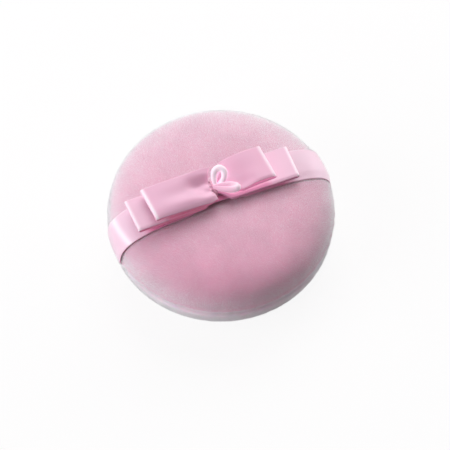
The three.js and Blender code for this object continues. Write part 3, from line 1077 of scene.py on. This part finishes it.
# How the strap rises and pleats at the knot
STRAP_KNOT_RISE = 0.95 * MM
STRAP_PLEAT = 0.18 * MM
# Where the strap bends round the puff's shoulder, and how far and where its near edge sinks in the pile
STRAP_SHOULDER = (14 * MM, 34 * MM)
STRAP_SUNK = 0.6 * MM
STRAP_SUNK_FROM = (18 * MM, 27 * MM)
STRAP_SUNK_EDGE = (0.4, 1.0)
# Its painted highlight on the left shoulder, and how far from the knot the bow covers its near edge, where
# it gets painted shade
STRAP_HIGHLIGHT = 0.8
STRAP_HIGHLIGHT_X = -38.5 * MM
STRAP_HIGHLIGHT_SKEW = 0.15
STRAP_HIGHLIGHT_WIDTH = 0.9 * MM
STRAP_COVERED = (24 * MM, 30 * MM)
STRAP_COVERED_EDGE = (0.5, 0.8)


def strap_side_view(sizes, ribbon):
    """Side view of the strap, from one tucked end over the crown to the other."""
    rise = CROWN_Z - SEAM_Z
    out, up = cushion_outline(sizes.diameter / 2, rise, sizes.crown_fullness, STRAP_OUTLINE_POINTS)
    out = out - groove_at(up, sizes)
    keep = up > sizes.groove_half_width / 2
    line = np.stack([out[keep], up[keep]], 1)
    along = np.gradient(line, axis=0)
    along /= np.linalg.norm(along, axis=1, keepdims=True)
    outer = line + np.stack([along[:, 1], -along[:, 0]], 1) * ribbon.strap_stand
    outer[-1, 0] = 0.0
    seam_line = STRAP_LOW.z - SEAM_Z + STRAP_END_LIFT
    seam_radius = sizes.diameter / 2 - sizes.groove_depth
    turn = [
        [seam_radius - ribbon.strap_tuck, seam_line],
        [seam_radius, seam_line],
        [seam_radius + STRAP_TURN_OUT, seam_line + STRAP_TURN_UP],
    ]
    right = np.concatenate([turn, outer])
    left = right[:-1] * np.array([-1.0, 1.0])
    whole = np.concatenate([left, right[::-1]])
    whole[:, 1] += SEAM_Z
    return evenly(whole, STRAP_STEP)


def strap_rows(side_view, share, ribbon):
    """Rows of points across the strap, with a painted highlight on its left shoulder and painted shade on
    its edge tucked under the bow.
    """
    straight = np.repeat(side_view[:, :1], len(share), 1)
    y = share * strap_half_width(straight, ribbon)
    pleats = STRAP_PLEAT * np.cos(RIBBON_PLEATS * math.pi * share)
    z = side_view[:, 1:] + near_knot(straight) * (STRAP_KNOT_RISE + pleats)
    rounded = np.sign(straight) * np.sqrt(np.maximum(straight**2 - y**2, 0.0))
    x = straight + (rounded - straight) * share_between(np.abs(straight), *STRAP_SHOULDER)
    outward = np.stack([x, np.zeros_like(x), z - SEAM_Z], -1)
    outward /= np.maximum(np.linalg.norm(outward, axis=-1, keepdims=True), MM)
    sunk = share_between(straight, *STRAP_SUNK_FROM) * share_between(-share, *STRAP_SUNK_EDGE)
    rows = np.stack([x, y, z], -1) - STRAP_SUNK * sunk[..., None] * outward
    # Painted highlight across the left shoulder, and painted shade on the near edge under the bow
    at_highlight = bell(straight + STRAP_HIGHLIGHT_SKEW * y, STRAP_HIGHLIGHT_X, STRAP_HIGHLIGHT_WIDTH)
    under_bow = 1.0 - share_between(np.abs(straight - KNOT_X), *STRAP_COVERED)
    covered = under_bow * share_between(-share, *STRAP_COVERED_EDGE)
    return rows, STRAP_HIGHLIGHT * at_highlight - covered


class PUFF_OT_strap(bpy.types.Operator):
    """Makes the satin finger strap that lies over the crown from seam to seam"""

    bl_idname = "puff.strap"
    bl_label = "Finger strap"

    def execute(self, context):
        sizes, ribbon, finishes = settings_of(context)
        side_view = strap_side_view(sizes, ribbon)
        share = np.linspace(-1.0, 1.0, STRAP_ACROSS)
        rows, painted_light = strap_rows(side_view, share, ribbon)
        lay = flat_lay(side_view, share, ribbon.width)
        material = satin_ribbon("satin_strap", tuple(finishes.strap), SHADE_TINT_STRAP)
        piece = ribbon_piece("satin_strap", rows, lay, painted_light, ribbon, material, "finger_strap")
        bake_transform(piece)
        return {"FINISHED"}


# Bow loops

# Distances from the knot at which a loop leaves it, moves with its own body and has lost its pleats
ROOT_START = 1.5 * MM
PLEATS_END = ROOT_START + 6.5 * MM
# Heights of the two tiers at the knot, and how far a loop's layers lie apart there
LOWER_ROOT_Z = GATHER_LOW.z + 0.5 * MM
UPPER_ROOT_Z = LOWER_ROOT_Z + 1.3 * MM
LAYER_SPREAD = 0.6 * MM
# Points along a layer, round a fold and across a loop
LAYER_POINTS = 64
FOLD_POINTS = 12
LOOP_ACROSS = 41
# Pleats and lifted edges at the knot, and the drooping near edge further out
LOOP_PLEAT = 0.42 * MM
PLEAT_SHIFT = 0.5
EDGE_LIFT = 1.0 * MM
EDGE_CURVE = 1.5
EDGE_DROOP = 0.35 * MM
DROOP_EDGE = (0.85, 1.0)
DROOP_END = ROOT_START + 3 * MM
NEAR_REACH = 0.85 * MM
# How far towards the knot the belly swells, and the share across and along that the hollow takes
BELLY_TO_KNOT = 0.6
VALLEY_BREADTH = 0.45
VALLEY_FADE = (0.45, 0.95)
# Widths of the painted highlight on a fold and of the end of a covered part with painted shade, and the
# covered share across
FOLD_HIGHLIGHT = 0.6 * MM
COVERED_FADE = 3 * MM
COVERED_EDGE = (0.3, 0.7)


@dataclass
class LoopShape:
    """Driving sizes of one bow loop, with those of the flat lower pair as defaults."""

    node: str
    parent: str
    side: int
    root_z: float
    # Tint of the painted shade where another layer covers the loop
    painted_shade_tint: tuple
    # Slant of the fold: shift along the strap for each length across it
    skew: float
    # Height of the fold above the knot, swelling of the upper layer and radius of the fold
    rise: float = -0.3 * MM
    belly: float = 0.3 * MM
    fold: float = 0.5 * MM
    # Depth of the hollow along the middle
    valley: float = 0.0
    # Half width at the knot and the length over which it opens, for the near and the far edge
    near: tuple = (3.0 * MM, 4.5 * MM)
    far: tuple = (2.2 * MM, 4.0 * MM)
    # Share of the edge lift on the near edge, and how far the far edge runs on to the knot
    near_lift: float = 1.0
    reach: float = 0.0
    # Rise of the far edge, and drop of the near one, at the fold
    twist: float = 0.0
    # Painted highlight on the fold, painted light over the whole upper layer against the shade of the loop
    # above, and how far out another loop covers it with painted shade
    painted_light: float = 0.8
    painted_paleness: float = 0.15
    covered: float = 21 * MM
    # Off where the satin is so thin that the layers under it stay light
    casts_shadow: bool = True
    # Bumps on the upper layer: distance out, share across, height, length and breadth
    bumps: tuple = ()

    @property
    def body(self):
        """The body that the loop moves with."""
        return self.node.removesuffix("_loop")

    @property
    def tip(self):
        """Distance from the knot to the end of the loop, from the frame."""
        low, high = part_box(self.node)
        return max(abs(low.x - KNOT_X), abs(high.x - KNOT_X))


def bow_loops():
    """The four loops, the lower pair longer and flatter than the upper one."""
    return (
        LoopShape("lower_left_loop", "strap", -1, LOWER_ROOT_Z, SHADE_TINT_LEFT, skew=0.05),
        LoopShape("lower_right_loop", "strap", 1, LOWER_ROOT_Z, SHADE_TINT_RIGHT, skew=-0.02),
        LoopShape(
            "upper_left_loop",
            "lower_left",
            -1,
            UPPER_ROOT_Z,
            SHADE_TINT_LEFT,
            skew=0.09,
            rise=2.2 * MM,
            belly=1.5 * MM,
            fold=0.7 * MM,
            valley=0.6 * MM,
            near=(5.4 * MM, 3.0 * MM),
            far=(6.2 * MM, 3.0 * MM),
            near_lift=0.2,
            reach=3.2 * MM,
            painted_light=0.9,
            painted_paleness=0.0,
            covered=0.0,
            bumps=(
                (6.0 * MM, 0.15, -1.2 * MM, 3.0 * MM, 0.4),
                (2.0 * MM, 0.95, 1.6 * MM, 5.0 * MM, 0.4),
                (12.0 * MM, -1.25, -2.2 * MM, 12.0 * MM, 0.45),
            ),
        ),
        LoopShape(
            "upper_right_loop",
            "lower_right",
            1,
            UPPER_ROOT_Z,
            SHADE_TINT_RIGHT,
            skew=0.09,
            rise=4.1 * MM,
            belly=1.5 * MM,
            fold=0.7 * MM,
            valley=0.4 * MM,
            near=(2.4 * MM, 7.5 * MM),
            far=(1.9 * MM, 4.5 * MM),
            twist=0.5 * MM,
            painted_light=0.7,
            painted_paleness=0.0,
            covered=0.0,
            casts_shadow=False,
            bumps=((9.0 * MM, -0.8, -1.5 * MM, 4.0 * MM, 0.5),),
        ),
    )


def loop_side_view(loop):
    """Side view of a loop, out along its under layer and back along its upper one, and which it is."""
    run = loop.tip - loop.fold - ROOT_START
    share = np.linspace(0.0, 1.0, LAYER_POINTS)
    out = ROOT_START + run * share
    middle = loop.root_z + loop.rise * (1.0 - (1.0 - share) ** 2)
    spread = LAYER_SPREAD / 2 * (1 - share) + loop.fold * share
    swelling = loop.belly * np.sin(math.pi * share**BELLY_TO_KNOT)
    under = np.stack([out, middle - spread], 1)
    upper = np.stack([out, middle + spread + swelling], 1)
    angle = np.linspace(-math.pi / 2, math.pi / 2, FOLD_POINTS + 2)[1:-1]
    fold_out = ROOT_START + run + loop.fold * np.cos(angle)
    fold_up = loop.root_z + loop.rise + loop.fold * np.sin(angle)
    line = np.concatenate([under, np.stack([fold_out, fold_up], 1), upper[::-1]])
    rounding = np.linspace(0, 1, FOLD_POINTS)
    layer = np.concatenate([np.zeros(LAYER_POINTS), rounding, np.ones(LAYER_POINTS)])
    return line, layer


def opened(out, root, run, full):
    """Half a loop's width at a distance from the knot, opening from its root."""
    return root + (full - root) * share_between(out, ROOT_START, ROOT_START + run)


def loop_rows(loop, line, layer, share, ribbon):
    """Rows of points of one loop, gathered to its root in pleats, with bumps on the upper layer."""
    out = line[:, :1]
    full = ribbon.width / 2
    y = share * np.where(share > 0, opened(out, *loop.far, full), opened(out, *loop.near, full))
    closed = 1.0 - share_between(out, ROOT_START, PLEATS_END)
    pleats = LOOP_PLEAT * closed * np.cos(RIBBON_PLEATS * math.pi * share + PLEAT_SHIFT)
    edges = EDGE_LIFT * closed * np.abs(share) ** EDGE_CURVE * np.where(share > 0, 1.0, loop.near_lift)
    away = share_between(out, ROOT_START, DROOP_END)
    fading = 1.0 - share_between(out / loop.tip, *VALLEY_FADE)
    valley = loop.valley * away * fading * bell(share, 0.0, VALLEY_BREADTH) * layer
    droop = EDGE_DROOP * away * share_between(-share, *DROOP_EDGE)
    z = line[:, 1:] + pleats + edges - valley - droop + loop.twist * share * out / loop.tip
    for place, across, height, length, breadth in loop.bumps:
        z = z + height * bell(out, place, length) * bell(share, across, breadth) * layer
    near_edge = NEAR_REACH * np.maximum(-share, 0.0)
    far_edge = loop.reach * np.maximum(share, 0.0) ** EDGE_CURVE
    x = KNOT_X + loop.side * (out - closed * (near_edge + far_edge)) - loop.skew * y
    return np.stack([x, y, z], -1)


def loop_painted_light(loop, line, layer, share):
    """How much painted highlight a loop has on its fold, above 0, and how much painted shade where it is
    tucked in, below 0.
    """
    along = lengths_along(line)
    fold_end = along[LAYER_POINTS + FOLD_POINTS - 1]
    # Painted highlight on the fold and painted light over the upper layer
    painted_light = np.maximum(loop.painted_light * bell(along, fold_end, FOLD_HIGHLIGHT)[:, None], loop.painted_paleness * layer)
    covered = 1.0 - share_between(line[:, :1], loop.covered - COVERED_FADE, loop.covered)
    # Painted shade on the near edge where another layer covers it
    painted_shade = share_between(-share, *COVERED_EDGE) * np.maximum(covered, 1.0 - layer)
    return painted_light - painted_shade * (1.0 - painted_light)


class PUFF_OT_loops(bpy.types.Operator):
    """Makes the four satin loops of the bow"""

    bl_idname = "puff.loops"
    bl_label = "Bow loops"

    def execute(self, context):
        _, ribbon, finishes = settings_of(context)
        share = np.linspace(-1.0, 1.0, LOOP_ACROSS)
        for loop in bow_loops():
            line, layer = loop_side_view(loop)
            rows = loop_rows(loop, line, layer[:, None], share, ribbon)
            painted_light = loop_painted_light(loop, line, layer[:, None], share)
            lay = flat_lay(line, share, ribbon.width)
            material = satin_ribbon(f"satin_{loop.body}", tuple(finishes.satin), loop.painted_shade_tint)
            piece = ribbon_piece(f"satin_{loop.node}", rows, lay, painted_light, ribbon, material, loop.node)
            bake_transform(piece)
            piece.visible_shadow = loop.casts_shadow
        return {"FINISHED"}


# Rolled pleats
PLEAT_POINTS = 72
PLEAT_ACROSS = 19
# Share of the ribbon's width that is rolled, and half the angle left open at the gather
PLEAT_SHARE = 0.3
PLEAT_OPENING = 0.3
# Roundness of the drop shape, share of the roll left at its foot, and how far round the edge rolls
PLEAT_ROUNDNESS = 0.8
PLEAT_FOOT = 0.2
PLEAT_ROLL = (-0.35, math.pi + 0.9)


@dataclass
class PleatShape:
    """Driving sizes of one rolled pleat that stands out of the gather."""

    name: str
    # Degrees round from the strap's own direction and up from level
    bearing: float
    tilt: float
    # Where it leaves the gather, and the size of its drop shaped line
    seat: tuple
    length: float
    width: float
    # Radius of the rolled edge
    roll: float
    # Painted highlight at its end, and how closely that keeps to the end
    painted_light: float
    keeping: float


def bow_pleats():
    """The pleat that stands up as a ring and the one that lies along the right loop."""
    return (
        PleatShape(
            "standing",
            bearing=60,
            tilt=30,
            seat=(KNOT_X + 1.0 * MM, -1.75 * MM, UPPER_ROOT_Z + 1.3 * MM),
            length=6.9 * MM,
            width=4.8 * MM,
            roll=1.15 * MM,
            painted_light=0.85,
            keeping=0.3,
        ),
        PleatShape(
            "lying",
            bearing=-32,
            tilt=14,
            seat=(KNOT_X - 0.3 * MM, -1.1 * MM, UPPER_ROOT_Z + 1.7 * MM),
            length=8.8 * MM,
            width=2.5 * MM,
            roll=1.2 * MM,
            painted_light=0.6,
            keeping=9.0,
        ),
    )


def pleat_rows(pleat):
    """Rows of points of a pleat, a ribbon edge rolled over along a drop shaped line, and its painted
    highlight.
    """
    bearing = math.radians(pleat.bearing)
    tilt = math.radians(pleat.tilt)
    level = math.cos(tilt)
    outward = np.array([math.cos(bearing) * level, math.sin(bearing) * level, math.sin(tilt)])
    aside = np.array([math.sin(bearing), -math.cos(bearing), 0.0])
    facing = np.cross(aside, outward)
    angle = np.linspace(PLEAT_OPENING, 2 * math.pi - PLEAT_OPENING, PLEAT_POINTS)
    to_end = np.sin(angle / 2)
    along = pleat.length * (1 - np.cos(angle)) / 2
    sideways = pleat.width / 2 * np.sin(angle) * to_end**PLEAT_ROUNDNESS
    path = np.stack([along, sideways], 1)
    step = np.gradient(path, axis=0)
    step /= np.linalg.norm(step, axis=1, keepdims=True)
    turned = np.linspace(*PLEAT_ROLL, PLEAT_ACROSS)
    roll = pleat.roll * (PLEAT_FOOT + (1.0 - PLEAT_FOOT) * to_end[:, None])
    flat_along = path[:, :1] - step[:, 1:] * roll * np.cos(turned)
    flat_aside = path[:, 1:] + step[:, :1] * roll * np.cos(turned)
    height = roll * np.sin(turned)
    rows = (
        np.array(pleat.seat)
        + flat_along[..., None] * outward
        + flat_aside[..., None] * aside
        + height[..., None] * facing
    )
    # Painted highlight towards the pleat's rolled end
    return rows, pleat.painted_light * to_end[:, None] ** pleat.keeping


class PUFF_OT_pleat(bpy.types.Operator):
    """Makes the two small rolled pleats that stand out of the gather on the right loop"""

    bl_idname = "puff.pleat"
    bl_label = "Rolled pleats"

    def execute(self, context):
        _, ribbon, finishes = settings_of(context)
        material = satin_ribbon("satin_pleat", tuple(finishes.satin), SHADE_TINT_RIGHT)
        share = np.linspace(-PLEAT_SHARE, PLEAT_SHARE, PLEAT_ACROSS)
        for pleat in bow_pleats():
            rows, painted_light = pleat_rows(pleat)
            middle = rows[:, PLEAT_ACROSS // 2]
            lay = flat_lay(middle, share, ribbon.width)
            piece = ribbon_piece(f"satin_{pleat.name}_pleat", rows, lay, painted_light, ribbon, material)
            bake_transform(piece)
            # The satin is so thin that the layers under it stay light
            piece.visible_shadow = False
        return {"FINISHED"}


# Gather and tie

# The gather's points along and round it, its place and size, and how it flares to its ends
GATHER_POINTS = 29
GATHER_AROUND = 96
GATHER_DROP = 0.1 * MM
GATHER_HALF_LENGTH = 2.5 * MM
GATHER_HALF_WIDTH = 1.65 * MM
GATHER_FLARE = 0.9 * MM
FLARE_CURVE = 1.6
# Its height at the tie as a share of the solid's, what the flare adds, and how blunt its ends are
WAIST_HEIGHT = 0.86
FLARE_HEIGHT = 0.16
END_BLUNTNESS = 8
# Its pleats: their number, depth, uneven spacing and twist
GATHER_PLEATS = 9
GATHER_PLEAT_DEPTH = 0.13
PLEAT_SPACING = 1.6
PLEAT_TWIST = 0.8
# How much wider its foot is
GATHER_FOOT = 0.5
GATHER_MERGE = 0.005 * MM
# Turns of the tie, their spacing in thread thicknesses, and how they hug the gather and the strap
TIE_TURNS = 3
TIE_POINTS = 56
TIE_PITCH = 1.02
TIE_HALF_WIDTH = 3.1 * MM
TIE_TAPER = 1.3 * MM
TIE_ABOVE_LOW = 0.15 * MM
TIE_BELOW_HIGH = 0.45 * MM


def gather_mesh(name):
    """The pinched middle of the bow: deep pleats along the strap, flared and closed at both ends."""
    low = GATHER_LOW.z - GATHER_DROP
    high = GATHER_HIGH.z - GATHER_DROP
    place = np.linspace(-1.0, 1.0, GATHER_POINTS)[None, :]
    angle = np.linspace(0.0, 2 * math.pi, GATHER_AROUND, endpoint=False)[:, None]
    flare = np.abs(place) ** FLARE_CURVE
    half_wide = GATHER_HALF_WIDTH + GATHER_FLARE * flare
    half_high = (high - low) / 2 * (WAIST_HEIGHT + FLARE_HEIGHT * flare)
    closing = np.sqrt(np.clip(1 - np.abs(place) ** END_BLUNTNESS, 0, 1))
    twisting = PLEAT_SPACING * np.sin(2 * angle) + PLEAT_TWIST * place
    pleats = closing * (1 + GATHER_PLEAT_DEPTH * np.cos(GATHER_PLEATS * angle + twisting))
    foot = 1.0 + GATHER_FOOT * share_between(-np.sin(angle), 0.0, 1.0)
    x = KNOT_X + GATHER_HALF_LENGTH * place + np.zeros_like(angle)
    y = half_wide * np.cos(angle) * pleats * foot
    z = (low + high) / 2 + half_high * np.sin(angle) * pleats
    mesh = grid_mesh(name, np.stack([x, y, z], -1), closed=True)
    merge_doubles(mesh, GATHER_MERGE, turn_out=True)
    set_lay(mesh, points_of(mesh)[:, :2] / MM)
    smooth(mesh)
    return mesh


def tie_line(thread):
    """Line of the tie thread, wound round the strap and the gather."""
    angle = np.linspace(0.0, 2 * math.pi * TIE_TURNS, TIE_POINTS * TIE_TURNS)
    low = TIE_LOW.z + TIE_ABOVE_LOW
    high = TIE_HIGH.z - TIE_BELOW_HIGH
    up = -np.cos(angle)
    x = KNOT_X + (angle / angle[-1] - 0.5) * TIE_TURNS * thread * TIE_PITCH
    y = (TIE_HALF_WIDTH - TIE_TAPER * up) * np.sin(angle)
    z = (low + high) / 2 + (high - low) / 2 * up
    return line_mesh("tie_line", np.stack([x, y, z], 1), False)


def winding_tree():
    """Geometry Nodes that run a round thread along a line."""
    tree, given = new_tree("ThreadWinding", Thickness="Float")
    half = arithmetic(tree, "MULTIPLY", given["Thickness"], 0.5)
    circle = add_node(tree, "GeometryNodeCurvePrimitiveCircle", inputs={"Resolution": 8, "Radius": half})
    tube = {
        "Curve": line_of(tree, given["Geometry"]),
        "Profile Curve": circle.outputs[0],
        "Fill Caps": True,
    }
    thread = add_node(tree, "GeometryNodeCurveToMesh", inputs=tube).outputs[0]
    return end_tree(tree, thread, given["Material"])


class PUFF_OT_gather(bpy.types.Operator):
    """Makes the pleated middle of the bow and the thread wound round it"""

    bl_idname = "puff.gather"
    bl_label = "Gather and tie"

    def execute(self, context):
        _, ribbon, finishes = settings_of(context)
        gather = link_object("gathered_satin", gather_mesh("gathered_satin"))
        paint(gather, satin_ribbon("satin_gather", tuple(finishes.satin), SHADE_TINT_STRAP))
        hand_over(gather, "strap", "gathered_middle")
        values = {
            "Thickness": ribbon.thread,
            "Material": twisted_thread("tie_thread_twist", tuple(finishes.thread)),
        }
        tie = run_tree("tie_winding", tie_line(ribbon.thread), winding_tree(), values)
        smooth(tie.data)
        hand_over(tie, "strap", "tie_thread")
        return {"FINISHED"}


# Stage
VIEW_AZIMUTH = math.radians(-22)
VIEW_ELEVATION = math.radians(60)
VIEW_DISTANCE = 0.6
VIEW_LENS = 131.0
VIEW_SENSOR = 36.0
VIEW_NEAREST = 0.01
FRAME_PIXELS = 450
SEAM_MIDDLE_PIXEL = (221.0, 214.5)
FLOOR_HALF = 1.5
FLOOR_DROP = 0.02 * MM
FLOOR_GLOW = 0.9
# Each lamp's place, size, power and colour
LAMPS = {
    "back_lamp": ((0.36, 0.7, 0.82), 1.0, 10.0, (1.0, 1.0, 1.0)),
    "left_lamp": ((-0.9, 0.05, 0.4), 0.8, 8.5, (0.97, 0.97, 1.0)),
    "right_lamp": ((0.93, 0.3, 0.16), 0.5, 5.0, (1.0, 1.0, 1.0)),
}


def pale_floor():
    """Floor material: white where the camera sees it, keeping a light shadow."""
    material, tree = new_material("pale_floor")
    tree.nodes.clear()
    matte = add_node(tree, "ShaderNodeBsdfDiffuse", inputs={"Color": (0.9, 0.88, 0.89, 1)}).outputs[0]
    glow = add_node(tree, "ShaderNodeEmission", inputs={"Color": (1, 1, 1, 1), "Strength": 1.0}).outputs[0]
    path = add_node(tree, "ShaderNodeLightPath").outputs
    seen = arithmetic(tree, "MAXIMUM", path["Is Camera Ray"], path["Is Glossy Ray"])
    amount = arithmetic(tree, "MULTIPLY", seen, FLOOR_GLOW)
    mix = add_node(tree, "ShaderNodeMixShader", inputs={0: amount, 1: matte, 2: glow}).outputs[0]
    add_node(tree, "ShaderNodeOutputMaterial", inputs={"Surface": mix})
    return material


def add_floor():
    """The floor that the puff rests on."""
    half = FLOOR_HALF
    corners = [(-half, -half, 0), (half, -half, 0), (half, half, 0), (-half, half, 0)]
    mesh = bpy.data.meshes.new("floor")
    mesh.from_pydata(corners, [], [(0, 1, 2, 3)])
    mesh.materials.append(pale_floor())
    floor = link_object("floor", mesh)
    floor.location.z = -FLOOR_DROP


def add_lamp(name, target, place, size, power, colour):
    """A soft square lamp that looks at a point."""
    lamp = bpy.data.lights.new(name, "AREA")
    lamp.size = size
    lamp.energy = power
    lamp.color = colour
    item = link_object(name, lamp)
    item.location = place
    item.rotation_euler = (target - Vector(place)).to_track_quat("-Z", "Y").to_euler()


def studio_world():
    """World that lights the puff with a faint pink and looks white to the camera."""
    world = bpy.data.worlds.new("studio")
    world.use_nodes = True
    tree = world.node_tree
    tree.nodes.clear()
    around = add_node(tree, "ShaderNodeBackground", inputs={"Color": (1, 0.86, 0.9, 1), "Strength": 0.24})
    plain = add_node(tree, "ShaderNodeBackground", inputs={"Color": (1, 1, 1, 1), "Strength": 1.0})
    seen = add_node(tree, "ShaderNodeLightPath").outputs["Is Camera Ray"]
    shares = {0: seen, 1: around.outputs[0], 2: plain.outputs[0]}
    mix = add_node(tree, "ShaderNodeMixShader", inputs=shares).outputs[0]
    add_node(tree, "ShaderNodeOutputWorld", inputs={"Surface": mix})
    return world


def add_camera(scene, centre):
    """Sets the camera at the viewing angle, with the seam's middle where it belongs in the frame."""
    data = bpy.data.cameras.new("view")
    data.lens = VIEW_LENS
    data.sensor_width = VIEW_SENSOR
    data.clip_start = VIEW_NEAREST
    camera = link_object("view", data)
    level = math.cos(VIEW_ELEVATION)
    back = Vector(
        (math.sin(VIEW_AZIMUTH) * level, -math.cos(VIEW_AZIMUTH) * level, math.sin(VIEW_ELEVATION))
    )
    turn = (-back).to_track_quat("-Z", "Y")
    per_pixel = VIEW_DISTANCE * VIEW_SENSOR / VIEW_LENS / FRAME_PIXELS
    right = turn @ Vector((1, 0, 0))
    up = turn @ Vector((0, 1, 0))
    across = (FRAME_PIXELS / 2 - SEAM_MIDDLE_PIXEL[0]) * per_pixel
    down = (FRAME_PIXELS / 2 - SEAM_MIDDLE_PIXEL[1]) * per_pixel
    aim = centre + right * across - up * down
    camera.matrix_world = Matrix.Translation(aim + back * VIEW_DISTANCE) @ turn.to_matrix().to_4x4()
    scene.camera = camera


class PUFF_OT_stage(bpy.types.Operator):
    """Makes the floor, the lamps, the world and the camera"""

    bl_idname = "puff.stage"
    bl_label = "Stage"

    def execute(self, context):
        scene = context.scene
        centre = Vector((0, 0, SEAM_Z))
        add_floor()
        for name, looks in LAMPS.items():
            add_lamp(name, centre, *looks)
        scene.world = studio_world()
        add_camera(scene, centre)
        scene.view_settings.view_transform = "Standard"
        return {"FINISHED"}


class PUFF_PT_panel(bpy.types.Panel):
    """Lists the sizes, the colours and the pieces"""

    bl_idname = "PUFF_PT_panel"
    bl_label = "Powder Puff"
    bl_space_type = "VIEW_3D"
    bl_region_type = "UI"
    bl_category = "Powder Puff"

    def draw(self, context):
        for group in settings_of(context):
            box = self.layout.box()
            for name in group.__annotations__:
                box.prop(group, name)
        for operator in OPERATORS:
            self.layout.operator(operator.bl_idname)


OPERATORS = (
    PUFF_OT_covers,
    PUFF_OT_filling,
    PUFF_OT_seam,
    PUFF_OT_strap,
    PUFF_OT_loops,
    PUFF_OT_pleat,
    PUFF_OT_gather,
    PUFF_OT_stage,
)
CLASSES = (PuffSizes, RibbonSizes, PuffFinishes, *OPERATORS, PUFF_PT_panel)


def register():
    """Registers the settings, the operators and the panel."""
    for item in CLASSES:
        bpy.utils.register_class(item)
    bpy.types.Scene.puff_sizes = PointerProperty(type=PuffSizes)
    bpy.types.Scene.puff_ribbon = PointerProperty(type=RibbonSizes)
    bpy.types.Scene.puff_finishes = PointerProperty(type=PuffFinishes)


def unregister():
    """Takes everything that register added away again."""
    del bpy.types.Scene.puff_finishes
    del bpy.types.Scene.puff_ribbon
    del bpy.types.Scene.puff_sizes
    for item in reversed(CLASSES):
        bpy.utils.unregister_class(item)


def main():
    """Builds the whole puff on its stage."""
    register()
    bpy.ops.puff.covers()
    bpy.ops.puff.filling()
    bpy.ops.puff.seam()
    bpy.ops.puff.strap()
    bpy.ops.puff.loops()
    bpy.ops.puff.pleat()
    bpy.ops.puff.gather()
    bpy.ops.puff.stage()


if __name__ == "__main__":
    main()
